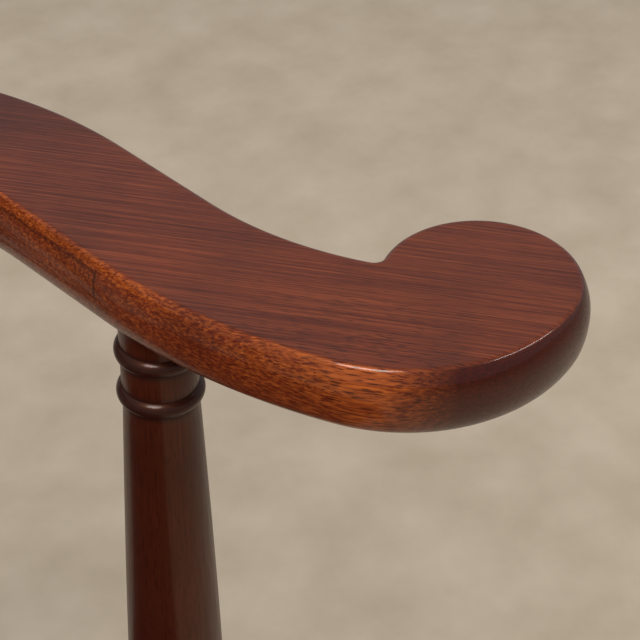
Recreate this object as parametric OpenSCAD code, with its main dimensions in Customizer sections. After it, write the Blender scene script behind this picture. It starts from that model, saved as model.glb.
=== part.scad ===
// Corner chair with a horseshoe arm, turned columns, pierced splats and a lift-out seat.
// Millimetres. The front is -Y and up is +Z. The origin is on the floor under the middle of the chair.

/* [Seat frame] */
// Outer side of the square seat frame, which stands corner forward
seat_side = 430; // [400:1:470]
// Height of the rails' top edge above the floor
rail_top = 425; // [400:1:450]
// Height of a seat rail
rail_h = 64; // [58:1:76]
// Thickness of the two front rails
front_rail_t = 22; // [20:1:26]
// Thickness of the two back rails, which also carry the splats' shoes
back_rail_t = 30; // [28:1:34]
// Width of the ledge that the lift-out seat rests on
rebate_w = 12; // [9:1:14]
// Depth of that ledge under the rails' top edge
rebate_d = 16; // [12:1:20]
// Radius of the front rails' rounded top edge
rail_edge_r = 5; // [2:0.5:7]

/* [Legs and columns] */
// Side of a square leg
leg_w = 45; // [43:1:52]
// Radius on the legs' outer corners
leg_corner_r = 4; // [2:0.5:7]
// Chamfer along the legs' inner corner, which the cross stretchers butt against
leg_chamfer = 14; // [12:1:16]
// Height of the square block above the rails, where the turning starts
block_h = 16; // [12:1:24]
// Radius of the column's foot
column_foot_r = 21; // [18:0.5:21.5]
// Radius of the column's top, just under the lower ring
column_top_r = 15.7; // [13:0.1:18]
// Radius of the neck between the rings
neck_r = 15.8; // [13:0.1:17]
// Outer radius of the two rings
ring_r = 18; // [17:0.1:21]
// Height of one ring
ring_h = 8.4; // [7:0.2:11]
// Distance of the upper ring's middle below the arm
upper_ring_drop = 18.5; // [14:0.5:28]
// Distance between the two rings
ring_pitch = 21; // [16:1:30]
// Radius of the tenon on top of a column
tenon_r = 10; // [8:0.5:11]
// Length of that tenon
tenon_l = 13; // [10:0.5:13]

/* [Arm] */
// Height of the arm's top face above the floor
arm_top = 700; // [670:1:740]
// Thickness of the arm
arm_t = 32.5; // [29:0.5:36]
// Width of the arm
arm_w = 63; // [58:1:66]
// How far outside the side columns the arm's centre line runs
arm_out = 5.5; // [0:0.5:7]
// Radius of the horseshoe's sides, on the centre line
side_arc_r = 180; // [165:1:190]
// Distance behind the side columns at which the sides start to bend inwards
side_arc_y = 60; // [56:1:75]
// Radius of the outer edge's outward sweep
outer_sweep_r = 145; // [135:1:160]
// Radius of the inner edge's outward sweep
inner_sweep_r = 260; // [240:1:280]
// Turn of the inner edge before it rolls into the scroll, in degrees
sweep_turn = 24; // [22:0.5:26]
// Radius of the inner edge where it rolls into the scroll
roll_r = 75; // [68:1:82]
// Direction of the scroll's centre from the roll's centre, in degrees off straight ahead
roll_turn = 16; // [10:1:22]
// Radius of the scroll that ends each arm
scroll_r = 41.5; // [38:0.5:46]
// Radius at the bottom of the notch beside the scroll
notch_r = 1.5; // [1:0.1:3]
// Radius of the arm's top edge
arm_edge_r = 2.5; // [2:0.5:6]
// How far the arm's side swells out below that edge
arm_swell = 3; // [1:0.5:4]
// How far the arm's rounded underside draws in
under_in = 9; // [6:0.5:12]
// How high that rounding reaches
under_up = 19; // [12:0.5:20]
// Distance of the hand piece's joint, where the outward sweep starts, behind the side column's middle
hand_joint_y = 5; // [2:0.5:8]
// Length of the half-lap joints in the arm
lap_l = 50; // [44:1:56]

/* [Crest] */
// Height of the crest in the middle
crest_h = 88; // [70:1:100]
// Height of the crest's ends
crest_end_h = 5; // [4:0.5:9]
// Half of the angle that the crest spans, in degrees
crest_span = 41; // [36:1:46]
// Thickness of the crest's foot
crest_foot_t = 36; // [32:1:40]
// Thickness of the crest's top edge
crest_top_t = 17; // [14:1:22]
// How far the crest's back stands in from the arm's outer edge
crest_inset = 5.5; // [4:0.5:8]

/* [Splats] */
// Thickness of a splat
splat_t = 10; // [9:0.5:11]
// Thickness of a splat's tongues
tongue_t = 7; // [5:0.5:8]
// Depth of a splat's tongue in the arm
tongue_l = 12; // [8:1:13]
// Distance of a splat's head outside the arm's inner edge
splat_head_in = 16; // [15:0.5:20]
// Width of one strap of the pierced pattern
strap_w = 10.5; // [8:0.5:12]
// Half the width of the splat's head
splat_head_w = 72; // [69:1:76]
// Half the width of the splat's foot
splat_foot_w = 47; // [46:1:52]
// Height of the shoe that a splat stands in
shoe_h = 15; // [12:1:20]
// Length of a shoe
shoe_l = 132; // [120:1:150]
// Radius of the hollow along each side of a shoe
shoe_cove_r = 3; // [2:0.1:3.2]

/* [Stretchers] */
// Height of the crossed stretchers' middle above the floor
stretcher_z = 115; // [90:1:150]
// Width of a stretcher
stretcher_w = 19; // [17:0.5:20]
// Height of a stretcher's section
stretcher_h = 27; // [23:1:32]
// Radius on a stretcher's edges
stretcher_r = 4; // [2:0.5:5]
// Length of a stretcher's tenon
stretcher_tenon_l = 14; // [10:0.5:18]
// Shoulder round that tenon
stretcher_shoulder = 4; // [3:0.5:5]

/* [Joinery] */
// Thickness of the rails' tenons
rail_tenon_t = 9; // [7:0.5:10]
// Length of the rails' tenons
rail_tenon_l = 21; // [18:0.5:22]
// Shoulder above and below the rails' tenons
rail_shoulder = 6; // [4:0.5:8]
// Radius of the pegs through the rails' tenons
peg_r = 3; // [2.5:0.1:3.5]
// Length of those pegs
peg_l = 28; // [25:1:30]
// Distance between the two pegs in a tenon
peg_pitch = 20; // [16:1:22]
// Clearance round every glued joint
glue_gap = 0.1; // [0.05:0.05:0.2]
// Length along the rails of a corner block
block_l = 72; // [68:1:78]
// Thickness of a corner block
block_t = 26; // [20:1:30]
// Width of a corner block's ends
block_end = 8; // [6:1:12]
// Radius of a wood screw's shank
screw_r = 2.1; // [1.8:0.1:2.4]
// Radius of a wood screw's head
screw_head_r = 4.3; // [3.8:0.1:4.8]
// Length of a wood screw's point
screw_point_l = 3; // [2:0.5:5]
// Width of the slot in its head
screw_slot_w = 1; // [0.6:0.1:1.4]
// Clearance round a wood screw
screw_gap = 0.05; // [0.02:0.01:0.1]
// Length of the screws in the corner blocks
block_screw_l = 36; // [32:1:40]
// How far the crest's screws reach into the crest's middle
crest_screw_bite = 24; // [16:1:30]
// Radius of the dowels in the arm's half laps
dowel_r = 4; // [3:0.5:5]
// Distance of those dowels' ends from the arm's faces
dowel_cover = 4; // [3:0.5:6]

/* [Lift-out seat] */
// Clearance between the seat and the frame round it
seat_gap = 1; // [0.6:0.1:2]
// Clearance between the seat and the ledge under it
seat_rest_gap = 0.3; // [0.2:0.05:0.5]
// Thickness of the covering
cover_t = 1.5; // [1:0.1:2]
// Width of the covering that is turned under the seat
cover_turn = 26; // [22:1:34]
// Thickness of the seat's own wooden frame
seat_frame_t = 20; // [17:1:24]
// Width of its bars
bar_w = 60; // [56:1:66]
// Thickness of the webbing
web_t = 1.2; // [0.8:0.1:1.5]
// Width of one strip of webbing
web_w = 50; // [44:1:54]
// Distance from one strip of webbing to the next
web_pitch = 82; // [74:1:88]
// Thickness of the hessian over the webbing
hessian_t = 0.8; // [0.6:0.1:1.2]
// Height of the stuffing at the seat's edge
pad_edge_h = 9; // [7:0.5:14]
// Extra height of the stuffing in the middle
pad_crown = 19; // [10:1:28]
// How far the stuffing's sides pull in between the corners
pad_pull = 3; // [0:0.5:5]
// Clearance between the covering and what it wraps
wrap_gap = 0.2; // [0.1:0.05:0.3]
// Thickness of the dust cover underneath
dust_t = 0.6; // [0.4:0.1:1]
// Distance of the tacks from the seat's edge
tack_in = 17; // [15:0.5:20]
// Radius of a tack's head
tack_head_r = 2.6; // [2:0.1:3]
// Thickness of a tack's head
tack_head_t = 0.9; // [0.5:0.1:1.2]
// Radius of a tack's shank
tack_r = 0.7; // [0.5:0.1:0.9]
// Length of a tack's shank under its head
tack_l = 9; // [7:0.5:11]
// Clearance round that shank
tack_gap = 0.05; // [0.02:0.01:0.1]

/* [Hidden] */
$fn = 64;
half_side = seat_side / 2;
inner_post = half_side - leg_w;
post_r = (seat_side - leg_w) / sqrt(2);
reach = half_side * sqrt(2) - leg_corner_r * (sqrt(2) - 1);
arm_bottom = arm_top - arm_t;
arm_mid = arm_top - arm_t / 2;
rail_bottom = rail_top - rail_h;
ledge_z = rail_top - rebate_d;

// The horseshoe's centre line: straight sides, a side arc and a flatter back arc
side_x = post_r + arm_out;
back_y = reach - arm_w / 2;
side_c = [side_x - side_arc_r, side_arc_y];
back_drop = side_arc_y - back_y;
back_arc_r = (side_arc_r ^ 2 - side_c.x ^ 2 - back_drop ^ 2) / (2 * (back_drop + side_arc_r));
back_c = [0, back_y - back_arc_r];
arc_joint = atan2(side_c.y - back_c.y, side_c.x);

// The sweep, the roll and the scroll at the arm's end
inner_sweep_c = [side_x - arm_w / 2 + inner_sweep_r, hand_joint_y];
outer_sweep_c = [side_x + arm_w / 2 + outer_sweep_r, hand_joint_y];
roll_c = inner_sweep_c - (inner_sweep_r - roll_r) * [cos(sweep_turn), sin(sweep_turn)];
scroll_c = roll_c + (roll_r - scroll_r) * [sin(roll_turn), -cos(roll_turn)];

// The notch's little circle touches the outer sweep from inside and the scroll from outside
notch_to_sweep = outer_sweep_r - notch_r;
notch_to_scroll = scroll_r + notch_r;
sweep_to_scroll = norm(outer_sweep_c - scroll_c);
notch_along = (notch_to_sweep ^ 2 - notch_to_scroll ^ 2 + sweep_to_scroll ^ 2) / (2 * sweep_to_scroll);
notch_line = (scroll_c - outer_sweep_c) / sweep_to_scroll;
notch_c = outer_sweep_c + notch_along * notch_line
    - sqrt(notch_to_sweep ^ 2 - notch_along ^ 2) * [-notch_line.y, notch_line.x];
notch_from_scroll = atan2(notch_c.y - scroll_c.y, notch_c.x - scroll_c.x);
notch_from_sweep = 180 + atan2(outer_sweep_c.y - notch_c.y, outer_sweep_c.x - notch_c.x);

// A splat leans from the back rail out to the arm
shoe_top = rail_top + shoe_h;
shoe_t = back_rail_t - rebate_w;
arm_diagonal = 45 + asin(-back_c.y / back_arc_r / sqrt(2));
splat_head_r = back_arc_r * cos(arm_diagonal) * sqrt(2) - arm_w / 2 + splat_head_in;
splat_foot_r = half_side - shoe_t / 2;
splat_tilt = atan((splat_head_r - splat_foot_r) / (arm_bottom - shoe_top));
splat_l = (arm_bottom - shoe_top) / cos(splat_tilt);

// The lift-out seat, in the seat frame's own axes
seat_lo = -half_side + front_rail_t - rebate_w + seat_gap;
seat_hi = half_side - back_rail_t + rebate_w - seat_gap;
seat_mid = (seat_lo + seat_hi) / 2;
seat_notch = inner_post - seat_gap;
seat_floor = ledge_z + seat_rest_gap;
seat_frame_z = seat_floor + cover_t;
web_z = seat_frame_z + seat_frame_t;
pad_z = web_z + 2 * web_t + hessian_t;
tack_count = 7;

// Joints
rail_tenon_z = rail_bottom + rail_shoulder;
rail_tenon_h = ledge_z - rail_shoulder - rail_tenon_z;
stretcher_l = 2 * (post_r - (leg_w - leg_chamfer) / sqrt(2));
block_z = ledge_z - 4 - block_t;
crest_r = back_arc_r + arm_w / 2 - crest_inset - crest_foot_t / 2;
crest_screw_angles = [-21, -9, 9, 21];

// Shared shapes

function arc(c, r, a0, a1, n, first = 0) =
    [for (i = [first:n]) let (a = a0 + (a1 - a0) * i / n) c + r * [cos(a), sin(a)]];

function reversed(v) = [for (i = [len(v) - 1:-1:0]) v[i]];

// Box between two corners
module slab(x0, x1, y0, y1, z0, z1) {
    translate([x0, y0, z0]) cube([x1 - x0, y1 - y0, z1 - z0]);
}

// Triangles between rings of n points, from the ring at first to the one at last
function ring_faces(n, first, last) = [for (k = [first:last - 1], i = [0:n - 1], half = [0, 1])
    let (a = k * n + i, b = k * n + (i + 1) % n)
    half == 0 ? [a, b + n, b] : [a, a + n, b + n]];

// Solid through rings of points, all of one length, each counterclockwise seen from its far side
module stacked(rings) {
    n = len(rings[0]);
    last = len(rings) - 1;
    polyhedron(
        points = [for (ring = rings) each ring],
        faces = concat(
            [[for (i = [0:n - 1]) i]],
            ring_faces(n, 0, last),
            [[for (i = [n - 1:-1:0]) last * n + i]]
        ),
        convexity = 8
    );
}

// The same, closed at both ends by triangles round a middle point
module stacked_fans(rings, middle0, middle1) {
    n = len(rings[0]);
    last = len(rings) - 1;
    m = n * len(rings);
    polyhedron(
        points = [for (ring = rings) each ring, middle0, middle1],
        faces = concat(
            [for (i = [0:n - 1]) [m, i, (i + 1) % n]],
            ring_faces(n, 0, last),
            [for (i = [0:n - 1]) [m + 1, last * n + (i + 1) % n, last * n + i]]
        ),
        convexity = 8
    );
}

// The same, closed by rungs between the two halves of an outline with an even number of points
module stacked_rungs(rings) {
    n = len(rings[0]);
    last = n * (len(rings) - 1);
    polyhedron(
        points = [for (ring = rings) each ring],
        faces = concat(
            [for (i = [0:n / 2 - 2]) each [[i, i + 1, n - 2 - i], [i, n - 2 - i, n - 1 - i]]],
            ring_faces(n, 0, len(rings) - 1),
            [for (i = [0:n / 2 - 2]) each [
                [last + i, last + n - 2 - i, last + i + 1],
                [last + i, last + n - 1 - i, last + n - 2 - i]
            ]]
        ),
        convexity = 8
    );
}

// Turns the seat frame's own axes to the chair's, so that its low corner is in front
module seat_axes() {
    rotate([0, 0, 45]) children();
}

// Places its children at a corner of the seat frame: 0 front, 1 right, 2 back, 3 left
module at_corner(k) {
    rotate([0, 0, 90 * k]) translate([0, -post_r, 0]) children();
}

// Turns the frame's low Y side to a side: 0 front right, 1 back right, 2 back left, 3 front left
module on_side(k) {
    seat_axes() rotate([0, 0, 90 * k]) children();
}

function rail_t(k) = k == 0 || k == 3 ? front_rail_t : back_rail_t;

// Legs and columns

// Section of a leg, with its inner corner towards +Y and that side grown
module leg_section(grow = 0) {
    flat = leg_w - leg_corner_r + grow;
    far = leg_w + grow;
    cut = leg_chamfer - 0.4 * grow;
    rotate([0, 0, 45]) translate([-leg_w / 2, -leg_w / 2]) {
        translate([leg_corner_r, leg_corner_r]) circle(leg_corner_r);
        polygon([
            [leg_corner_r, 0], [far, 0], [far, far - cut], [far - cut, far], [0, far], [0, leg_corner_r],
            [leg_corner_r, leg_corner_r]
        ]);
    }
}

// Half of a column's outline. Heights are above the rails' top edge.
module column_half() {
    top = arm_bottom - rail_top;
    upper = top - upper_ring_drop;
    lower = upper - ring_pitch;
    foot = block_h + 24;
    rise = lower - ring_h / 2 - 2 - foot;
    polygon(concat(
        [
            [0, block_h - 2], [column_foot_r + 0.8, block_h - 2], [column_foot_r + 0.8, block_h],
            [column_foot_r - 4, block_h + 1], [column_foot_r - 4, block_h + 12],
            [column_foot_r - 5, block_h + 12], [column_foot_r - 5, block_h + 20],
            [column_foot_r - 1.2, block_h + 21]
        ],
        [for (i = [0:12]) let (t = i / 12)
            [column_top_r + (column_foot_r - column_top_r) * (1 - t ^ 1.25), foot + rise * t]],
        [
            [neck_r, lower - ring_h / 2], [neck_r, upper + ring_h / 2 + 3], [neck_r + 0.4, top - 6],
            [neck_r + 1.4, top], [tenon_r, top], [tenon_r, top + tenon_l - 1.5],
            [tenon_r - 1.5, top + tenon_l], [0, top + tenon_l]
        ]
    ));
    for (z = [upper, lower]) translate([ring_r - ring_h / 2, z]) circle(ring_h / 2);
    translate([column_foot_r - 4.4, block_h + 6]) circle(5);
    translate([column_foot_r - 4, block_h + 16]) circle(3);
}

// A leg that carries on above the seat as a column, with its inner corner towards +Y
module post() {
    shoulder = 9;
    square_top = rail_top + block_h;
    linear_extrude(square_top - shoulder) leg_section();
    intersection() {
        translate([0, 0, square_top - shoulder]) linear_extrude(shoulder) leg_section();
        translate([0, 0, square_top - shoulder])
            cylinder(h = shoulder, r1 = leg_w * 0.74, r2 = column_foot_r + 0.8);
    }
    translate([0, 0, rail_top]) rotate_extrude() column_half();
}

// Everything that the legs are mortised and bored for
module leg_joints(grow) {
    for (k = [0:3]) {
        on_side(k) rail_tenons(rail_t(k), grow);
        peg_set(k, grow);
    }
    for (a = [0, 90]) rotate([0, 0, a]) stretcher_tenons(grow);
}

module fitted_post(k) {
    color("saddlebrown") difference() {
        at_corner(k) post();
        leg_joints(glue_gap);
    }
}

module right_post() fitted_post(1);
module back_post() fitted_post(2);
module left_post() fitted_post(3);

// Takes the corner off a front rail's top edge and leaves it round
module edge_cut() {
    r = rail_edge_r;
    translate([-half_side - 1, -half_side, rail_top]) rotate([90, 0, 90])
        linear_extrude(seat_side + 2) difference() {
            translate([-1, -r]) square([r + 1, r + 1]);
            translate([r, -r]) circle(r);
        }
}

module front_leg() {
    color("saddlebrown") difference() {
        at_corner(0) linear_extrude(rail_top) leg_section();
        leg_joints(glue_gap);
        seat_axes() {
            lo = seat_lo - seat_gap;
            slab(lo, half_side, lo, half_side, ledge_z, rail_top + 1);
            edge_cut();
            mirror([1, -1, 0]) edge_cut();
        }
    }
}

// Seat rails. A rail lies along X, with its outer face towards -Y.

module rail_tenons(t, grow) {
    far = inner_post + rail_tenon_l + grow;
    half_t = rail_tenon_t / 2 + grow;
    slab(-far, far, -half_side + t / 2 - half_t, -half_side + t / 2 + half_t,
        rail_tenon_z - grow, rail_tenon_z + rail_tenon_h + grow);
}

// The pegs through one rail's two tenons
module peg_set(k, grow) {
    mid = rail_tenon_z + rail_tenon_h / 2;
    for (x = [-1, 1], z = [-1, 1])
        on_side(k) translate([x * (inner_post + rail_tenon_l / 2), -half_side - grow, mid + z * peg_pitch / 2])
            rotate([-90, 0, 0]) cylinder(h = peg_l + 2 * grow, r = peg_r + grow);
}

module seat_rail(k) {
    t = rail_t(k);
    color("saddlebrown") difference() {
        on_side(k) difference() {
            union() {
                slab(-inner_post, inner_post, -half_side, -half_side + t, rail_bottom, rail_top);
                rail_tenons(t, 0);
            }
            slab(-half_side, half_side, -half_side + t - rebate_w, 0, ledge_z, rail_top + 1);
            if (k == 0 || k == 3) edge_cut();
        }
        peg_set(k, glue_gap);
        block_screw_set(screw_gap);
    }
}

module front_right_rail() seat_rail(0);
module back_right_rail() seat_rail(1);
module back_left_rail() seat_rail(2);
module front_left_rail() seat_rail(3);

module rail_pegs() {
    color("peru") for (k = [0:3]) peg_set(k, 0);
}

// Crossed stretchers, each along X before it is turned

module stretcher_section() {
    w = stretcher_w - 2 * stretcher_r;
    h = stretcher_h - 2 * stretcher_r;
    square([w, stretcher_h], center = true);
    square([stretcher_w, h], center = true);
    for (x = [-1, 1], y = [-1, 1]) translate([x * w / 2, y * h / 2]) circle(stretcher_r);
}

module stretcher_tenons(grow) {
    far = stretcher_l / 2 + stretcher_tenon_l + grow;
    w = stretcher_w / 2 - stretcher_shoulder + grow;
    h = stretcher_h / 2 - stretcher_shoulder + grow;
    for (s = [0, 1]) mirror([s, 0, 0])
        slab(stretcher_l / 2 - 5, far, -w, w, stretcher_z - h, stretcher_z + h);
}

// keep is 1 to keep the upper half at the crossing and -1 to keep the lower
module stretcher(keep) {
    lap = stretcher_w / 2 + glue_gap;
    z0 = keep > 0 ? stretcher_z - stretcher_h : stretcher_z;
    difference() {
        union() {
            translate([-stretcher_l / 2, 0, stretcher_z]) rotate([90, 0, 90])
                linear_extrude(stretcher_l) stretcher_section();
            stretcher_tenons(0);
        }
        slab(-lap, lap, -stretcher_w, stretcher_w, z0, z0 + stretcher_h);
    }
}

module side_stretcher() {
    color("saddlebrown") stretcher(1);
}

module middle_stretcher() {
    color("saddlebrown") rotate([0, 0, 90]) stretcher(-1);
}

// Corner blocks and their screws

// A wood screw that points along +Z, with its head's face at the origin
module wood_screw(l, grow) {
    shank = l - screw_point_l;
    translate([0, 0, -grow]) cylinder(h = grow + 0.001, r = screw_head_r + grow);
    cylinder(h = screw_head_r - screw_r, r1 = screw_head_r + grow, r2 = screw_r + grow);
    cylinder(h = shank, r = screw_r + grow);
    translate([0, 0, shank]) cylinder(h = screw_point_l, r1 = screw_r + grow, r2 = screw_r / 5 + grow);
}

// The slot in that head
module screw_slot() {
    cube([2 * screw_head_r + 1, screw_slot_w, 2 * screw_slot_w], center = true);
}

// A corner between two rails' inner faces, with the middle of the chair towards +X and +Y
module at_inner_corner(k) {
    on_side(k) translate([-half_side + rail_t((k + 3) % 4), -half_side + rail_t(k), 0]) children();
}

// The middle of a screw's head in a corner block, pointing into the corner
module at_block_screws(k) {
    mid = (block_l + block_end) / 2 + glue_gap;
    for (s = [-1, 1]) at_inner_corner(k) translate([mid + s * 24, mid - s * 24, block_z + block_t / 2])
        rotate([0, 0, 45]) rotate([0, -90, 0]) children();
}

module block_screw_set(grow) {
    for (k = [0:3]) at_block_screws(k) wood_screw(block_screw_l, grow);
}

module corner_block(k) {
    difference() {
        at_inner_corner(k) translate([glue_gap, glue_gap, block_z]) linear_extrude(block_t)
            polygon([[0, 0], [block_l, 0], [block_l, block_end], [block_end, block_l], [0, block_l]]);
        at_corner(k) translate([0, 0, block_z - 1]) linear_extrude(block_t + 2) leg_section(glue_gap);
    }
}

module corner_blocks() {
    color("burlywood") difference() {
        for (k = [0:3]) corner_block(k);
        block_screw_set(screw_gap);
    }
}

module block_screws() {
    color("goldenrod") difference() {
        block_screw_set(0);
        for (k = [0:3]) at_block_screws(k) screw_slot();
    }
}

// Shoes and splats, with side 1 on the right and -1 on the left

// Places a splat's own plane, with X across the board and Y up it
module splat_plane(side) {
    rotate([0, 0, -45 * side]) translate([0, splat_foot_r, shoe_top]) rotate([90 - splat_tilt, 0, 0])
        children();
}

// A slice of the splat's plane, w to each side, between two heights
module splat_tongue(side, w, z0, z1, grow) {
    intersection() {
        splat_plane(side) translate([0, splat_l / 2, 0])
            cube([2 * (w + grow), 2 * splat_l, tongue_t + 2 * grow], center = true);
        slab(-seat_side, seat_side, 0, seat_side, z0 - grow, z1 + grow);
    }
}

module head_tongue(side, grow) {
    splat_tongue(side, splat_head_w - 14, arm_bottom - 3, arm_bottom + tongue_l, grow);
}

module foot_tongue(side, grow) {
    splat_tongue(side, splat_foot_w - 10, rail_top, shoe_top + 3, grow);
}

// Smooth curve through the points p, with n steps from each to the next
function curve(p, n) = [for (i = [0:len(p) - 2], k = [0:n - 1]) spline(p, i, k / n), p[len(p) - 1]];
function spline(p, i, t) =
    let (a = p[max(i - 1, 0)], b = p[i], c = p[i + 1], d = p[min(i + 2, len(p) - 1)])
    0.5 * (2 * b + (c - a) * t + (2 * a - 5 * b + 4 * c - d) * t ^ 2 + (3 * b - a - 3 * c + d) * t ^ 3);

// Flat strap of the width w along the points p
module strap(p, w) {
    last = len(p) - 1;
    side = [for (i = [0:last])
        let (d = p[min(i + 1, last)] - p[max(i - 1, 0)]) [-d.y, d.x] / norm(d) * w / 2];
    polygon(concat([for (i = [0:last]) p[i] + side[i]], [for (i = [last:-1:0]) p[i] - side[i]]));
}

// The straps' routes: distance from the middle, and height as a share of the board's length
function up_board(p) = [for (q = p) [q.x, q.y * splat_l]];
outer_strap = up_board([[40, 0], [33, 0.2], [37, 0.4], [57, 0.62], [66, 0.82], [64, 1]]);
inner_strap = up_board([
    [15, 0], [17, 0.14], [0, 0.31], [-27, 0.47], [-21, 0.59], [4, 0.69], [32, 0.82], [44, 1]
]);

module splat_face() {
    foot_r = 9;
    head_r = 10;
    for (m = [0, 1]) mirror([m, 0]) {
        strap(curve(outer_strap, 6), strap_w);
        strap(curve(inner_strap, 5), strap_w);
        // the solid foot
        polygon(concat(
            [[0, 14], [0, 0], [splat_foot_w, 0], [splat_foot_w, 5]],
            arc([splat_foot_w, 14], foot_r, 270, 180, 6)
        ));
        // the solid head
        polygon(concat(
            [[splat_head_w, splat_l], [0, splat_l], [0, splat_l - 14]],
            arc([splat_head_w, splat_l - 14], head_r, 180, 90, 6)
        ));
    }
}

module splat(side) {
    over = 4;
    color("saddlebrown") union() {
        intersection() {
            splat_plane(side) translate([0, 0, -splat_t / 2]) linear_extrude(splat_t) {
                splat_face();
                translate([-splat_foot_w, -over]) square([2 * splat_foot_w, over + 1]);
                translate([-splat_head_w, splat_l - 1]) square([2 * splat_head_w, over + 1]);
            }
            slab(-seat_side, seat_side, 0, seat_side, shoe_top, arm_bottom);
        }
        head_tongue(side, 0);
        foot_tongue(side, 0);
    }
}

module shoe(side) {
    color("saddlebrown") difference() {
        rotate([0, 0, -45 * side]) translate([-shoe_l / 2, half_side - shoe_t, rail_top]) rotate([90, 0, 90])
            linear_extrude(shoe_l) difference() {
                square([shoe_t, shoe_h]);
                for (y = [0, shoe_t]) translate([y, shoe_h]) circle(shoe_cove_r);
            }
        foot_tongue(side, glue_gap);
    }
}

module right_shoe() shoe(1);
module left_shoe() shoe(-1);
module right_splat() splat(1);
module left_splat() splat(-1);

// The arm: two back pieces and two hand pieces, half-lapped together

// Lean of the arm's side where it meets the top edge's rounding, and the side's height up to there
side_lean = atan(2 * arm_swell / (arm_t - arm_edge_r - under_up));
side_h = arm_t - arm_edge_r * (1 - sin(side_lean)) - under_up;

// Section of the arm's edge, as the distance drawn in and the height: the rounded underside, the
// side that leans in above its widest place, and the rounded top edge
arm_edge = concat(
    [for (a = [0:15:90]) [under_in * (1 - sin(a)), under_up * (1 - cos(a))]],
    [for (t = [0.4, 0.75]) [arm_swell * t ^ 2, under_up + side_h * t]],
    [for (i = [0:3]) let (a = side_lean + (90 - side_lean) * i / 3)
        [arm_swell + arm_edge_r * (cos(side_lean) - cos(a)), arm_t - arm_edge_r * (1 - sin(a))]]
);

// Section of the arm as [distance outwards, height], cut off flat below lo and above hi
function arm_section(lo, hi) =
    let (half = [for (e = arm_edge)
        let (past = max(lo - e[1], e[1] - hi, 0))
        past > 0 ? [arm_w / 2 - 0.3 - 1.2 * past, e[1] < lo ? lo : hi] : [arm_w / 2 - e[0], e[1]]])
    concat(half, [for (q = reversed(half)) [-q.x, q.y]]);
full_section = arm_section(0, arm_t);
upper_section = arm_section(arm_t / 2 + glue_gap, arm_t);
lower_section = arm_section(0, arm_t / 2);

// A section set at the angle a of an arc about c
function arm_ring(section, c, r, a) =
    [for (q = section) [c.x + (r + q.x) * cos(a), c.y + (r + q.x) * sin(a), arm_bottom + q.y]];

// A section set across the arm's straight side
function side_ring(section, y) = [for (q = section) [side_x + q.x, y, arm_bottom + q.y]];

// The right back piece, from its lap over the back post to its lap on the hand piece
module arm_run(back_section) {
    gap_a = glue_gap / back_arc_r * 180 / PI;
    lap_a = lap_l / 2 / back_arc_r * 180 / PI;
    run_a = 90 - lap_a - 2 * gap_a;
    hand_y = hand_joint_y + lap_l;
    lap_h = (back_section[0].y + back_section[len(arm_edge) - 1].y) / 2;
    start = 90 + lap_a;
    stacked_fans(
        concat(
            [for (i = [0:4]) arm_ring(back_section, back_c, back_arc_r, start - (2 * lap_a + gap_a) * i / 4)],
            [for (i = [0:8]) arm_ring(full_section, back_c, back_arc_r, run_a + (arc_joint - run_a) * i / 8)],
            [for (i = [1:12]) arm_ring(full_section, side_c, side_arc_r, arc_joint * (1 - i / 12))],
            [side_ring(full_section, hand_y + 2 * glue_gap)],
            [for (y = [hand_y + glue_gap, hand_joint_y + glue_gap]) side_ring(upper_section, y)]
        ),
        [back_c.x + back_arc_r * cos(start), back_c.y + back_arc_r * sin(start), arm_bottom + lap_h],
        [side_x, hand_joint_y + glue_gap, arm_bottom + arm_t * 0.75]
    );
}

// Outline of the right hand piece with its lap, drawn in by d
function hand_outline(d) = concat(
    [[side_x - arm_w / 2 + d, hand_joint_y + lap_l]],
    arc(inner_sweep_c, inner_sweep_r - d, 180, 180 + sweep_turn, 6),
    arc(roll_c, roll_r - d, 180 + sweep_turn, 270 + roll_turn, 14, 1),
    arc(scroll_c, scroll_r - d, 270 + roll_turn, 360 + notch_from_scroll, 30, 1),
    arc(notch_c, notch_r + d, 180 + notch_from_scroll, notch_from_sweep, 4, 1),
    arc(outer_sweep_c, outer_sweep_r + d, notch_from_sweep, 180, 7, 1),
    [[side_x + arm_w / 2 - d, hand_joint_y + lap_l]]
);

// Everything that is cut and bored in the arm from below
module arm_joints() {
    for (k = [1:3]) at_corner(k) translate([0, 0, arm_bottom - 1])
        cylinder(h = tenon_l + 1 + glue_gap, r = tenon_r + glue_gap);
    for (side = [-1, 1]) head_tongue(side, glue_gap);
    dowel_set(glue_gap);
    crest_screw_set(screw_gap);
}

// Takes side -1 to the left of the chair, and leaves side 1 on the right
module on_arm(side) {
    mirror([side < 0 ? 1 : 0, 0, 0]) children();
}

// A hand piece keeps the lower half of the lap behind its joint
module hand_piece(side) {
    color("sienna") difference() {
        on_arm(side) stacked_rungs([for (e = arm_edge)
            [for (q = hand_outline(e[0])) [q.x, q.y, arm_bottom + e[1]]]]);
        on_arm(side) slab(0, seat_side, hand_joint_y, seat_side, arm_mid, arm_top + 1);
        arm_joints();
    }
}

// The back pieces lap over the back post: the right one keeps the upper half, the left one the lower
module arm_back(side) {
    color("sienna") difference() {
        on_arm(side) arm_run(side > 0 ? upper_section : lower_section);
        arm_joints();
    }
}

module right_hand_piece() hand_piece(1);
module left_hand_piece() hand_piece(-1);
module right_arm_back() arm_back(1);
module left_arm_back() arm_back(-1);

// Dowels through the laps: two at each hand piece and two over the back post
module dowel_set(grow) {
    places = [
        for (s = [-1, 1], y = [0.4, 0.78]) [s * side_x, hand_joint_y + lap_l * y],
        for (s = [-1, 1]) [s * (tenon_r + dowel_r + 3), back_y]
    ];
    for (p = places) translate([p.x, p.y, arm_bottom + dowel_cover - grow])
        cylinder(h = arm_t - 2 * dowel_cover + 2 * grow, r = dowel_r + grow);
}

module lap_dowels() {
    color("peru") dowel_set(0);
}

// The crest on the horseshoe's back

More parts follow.
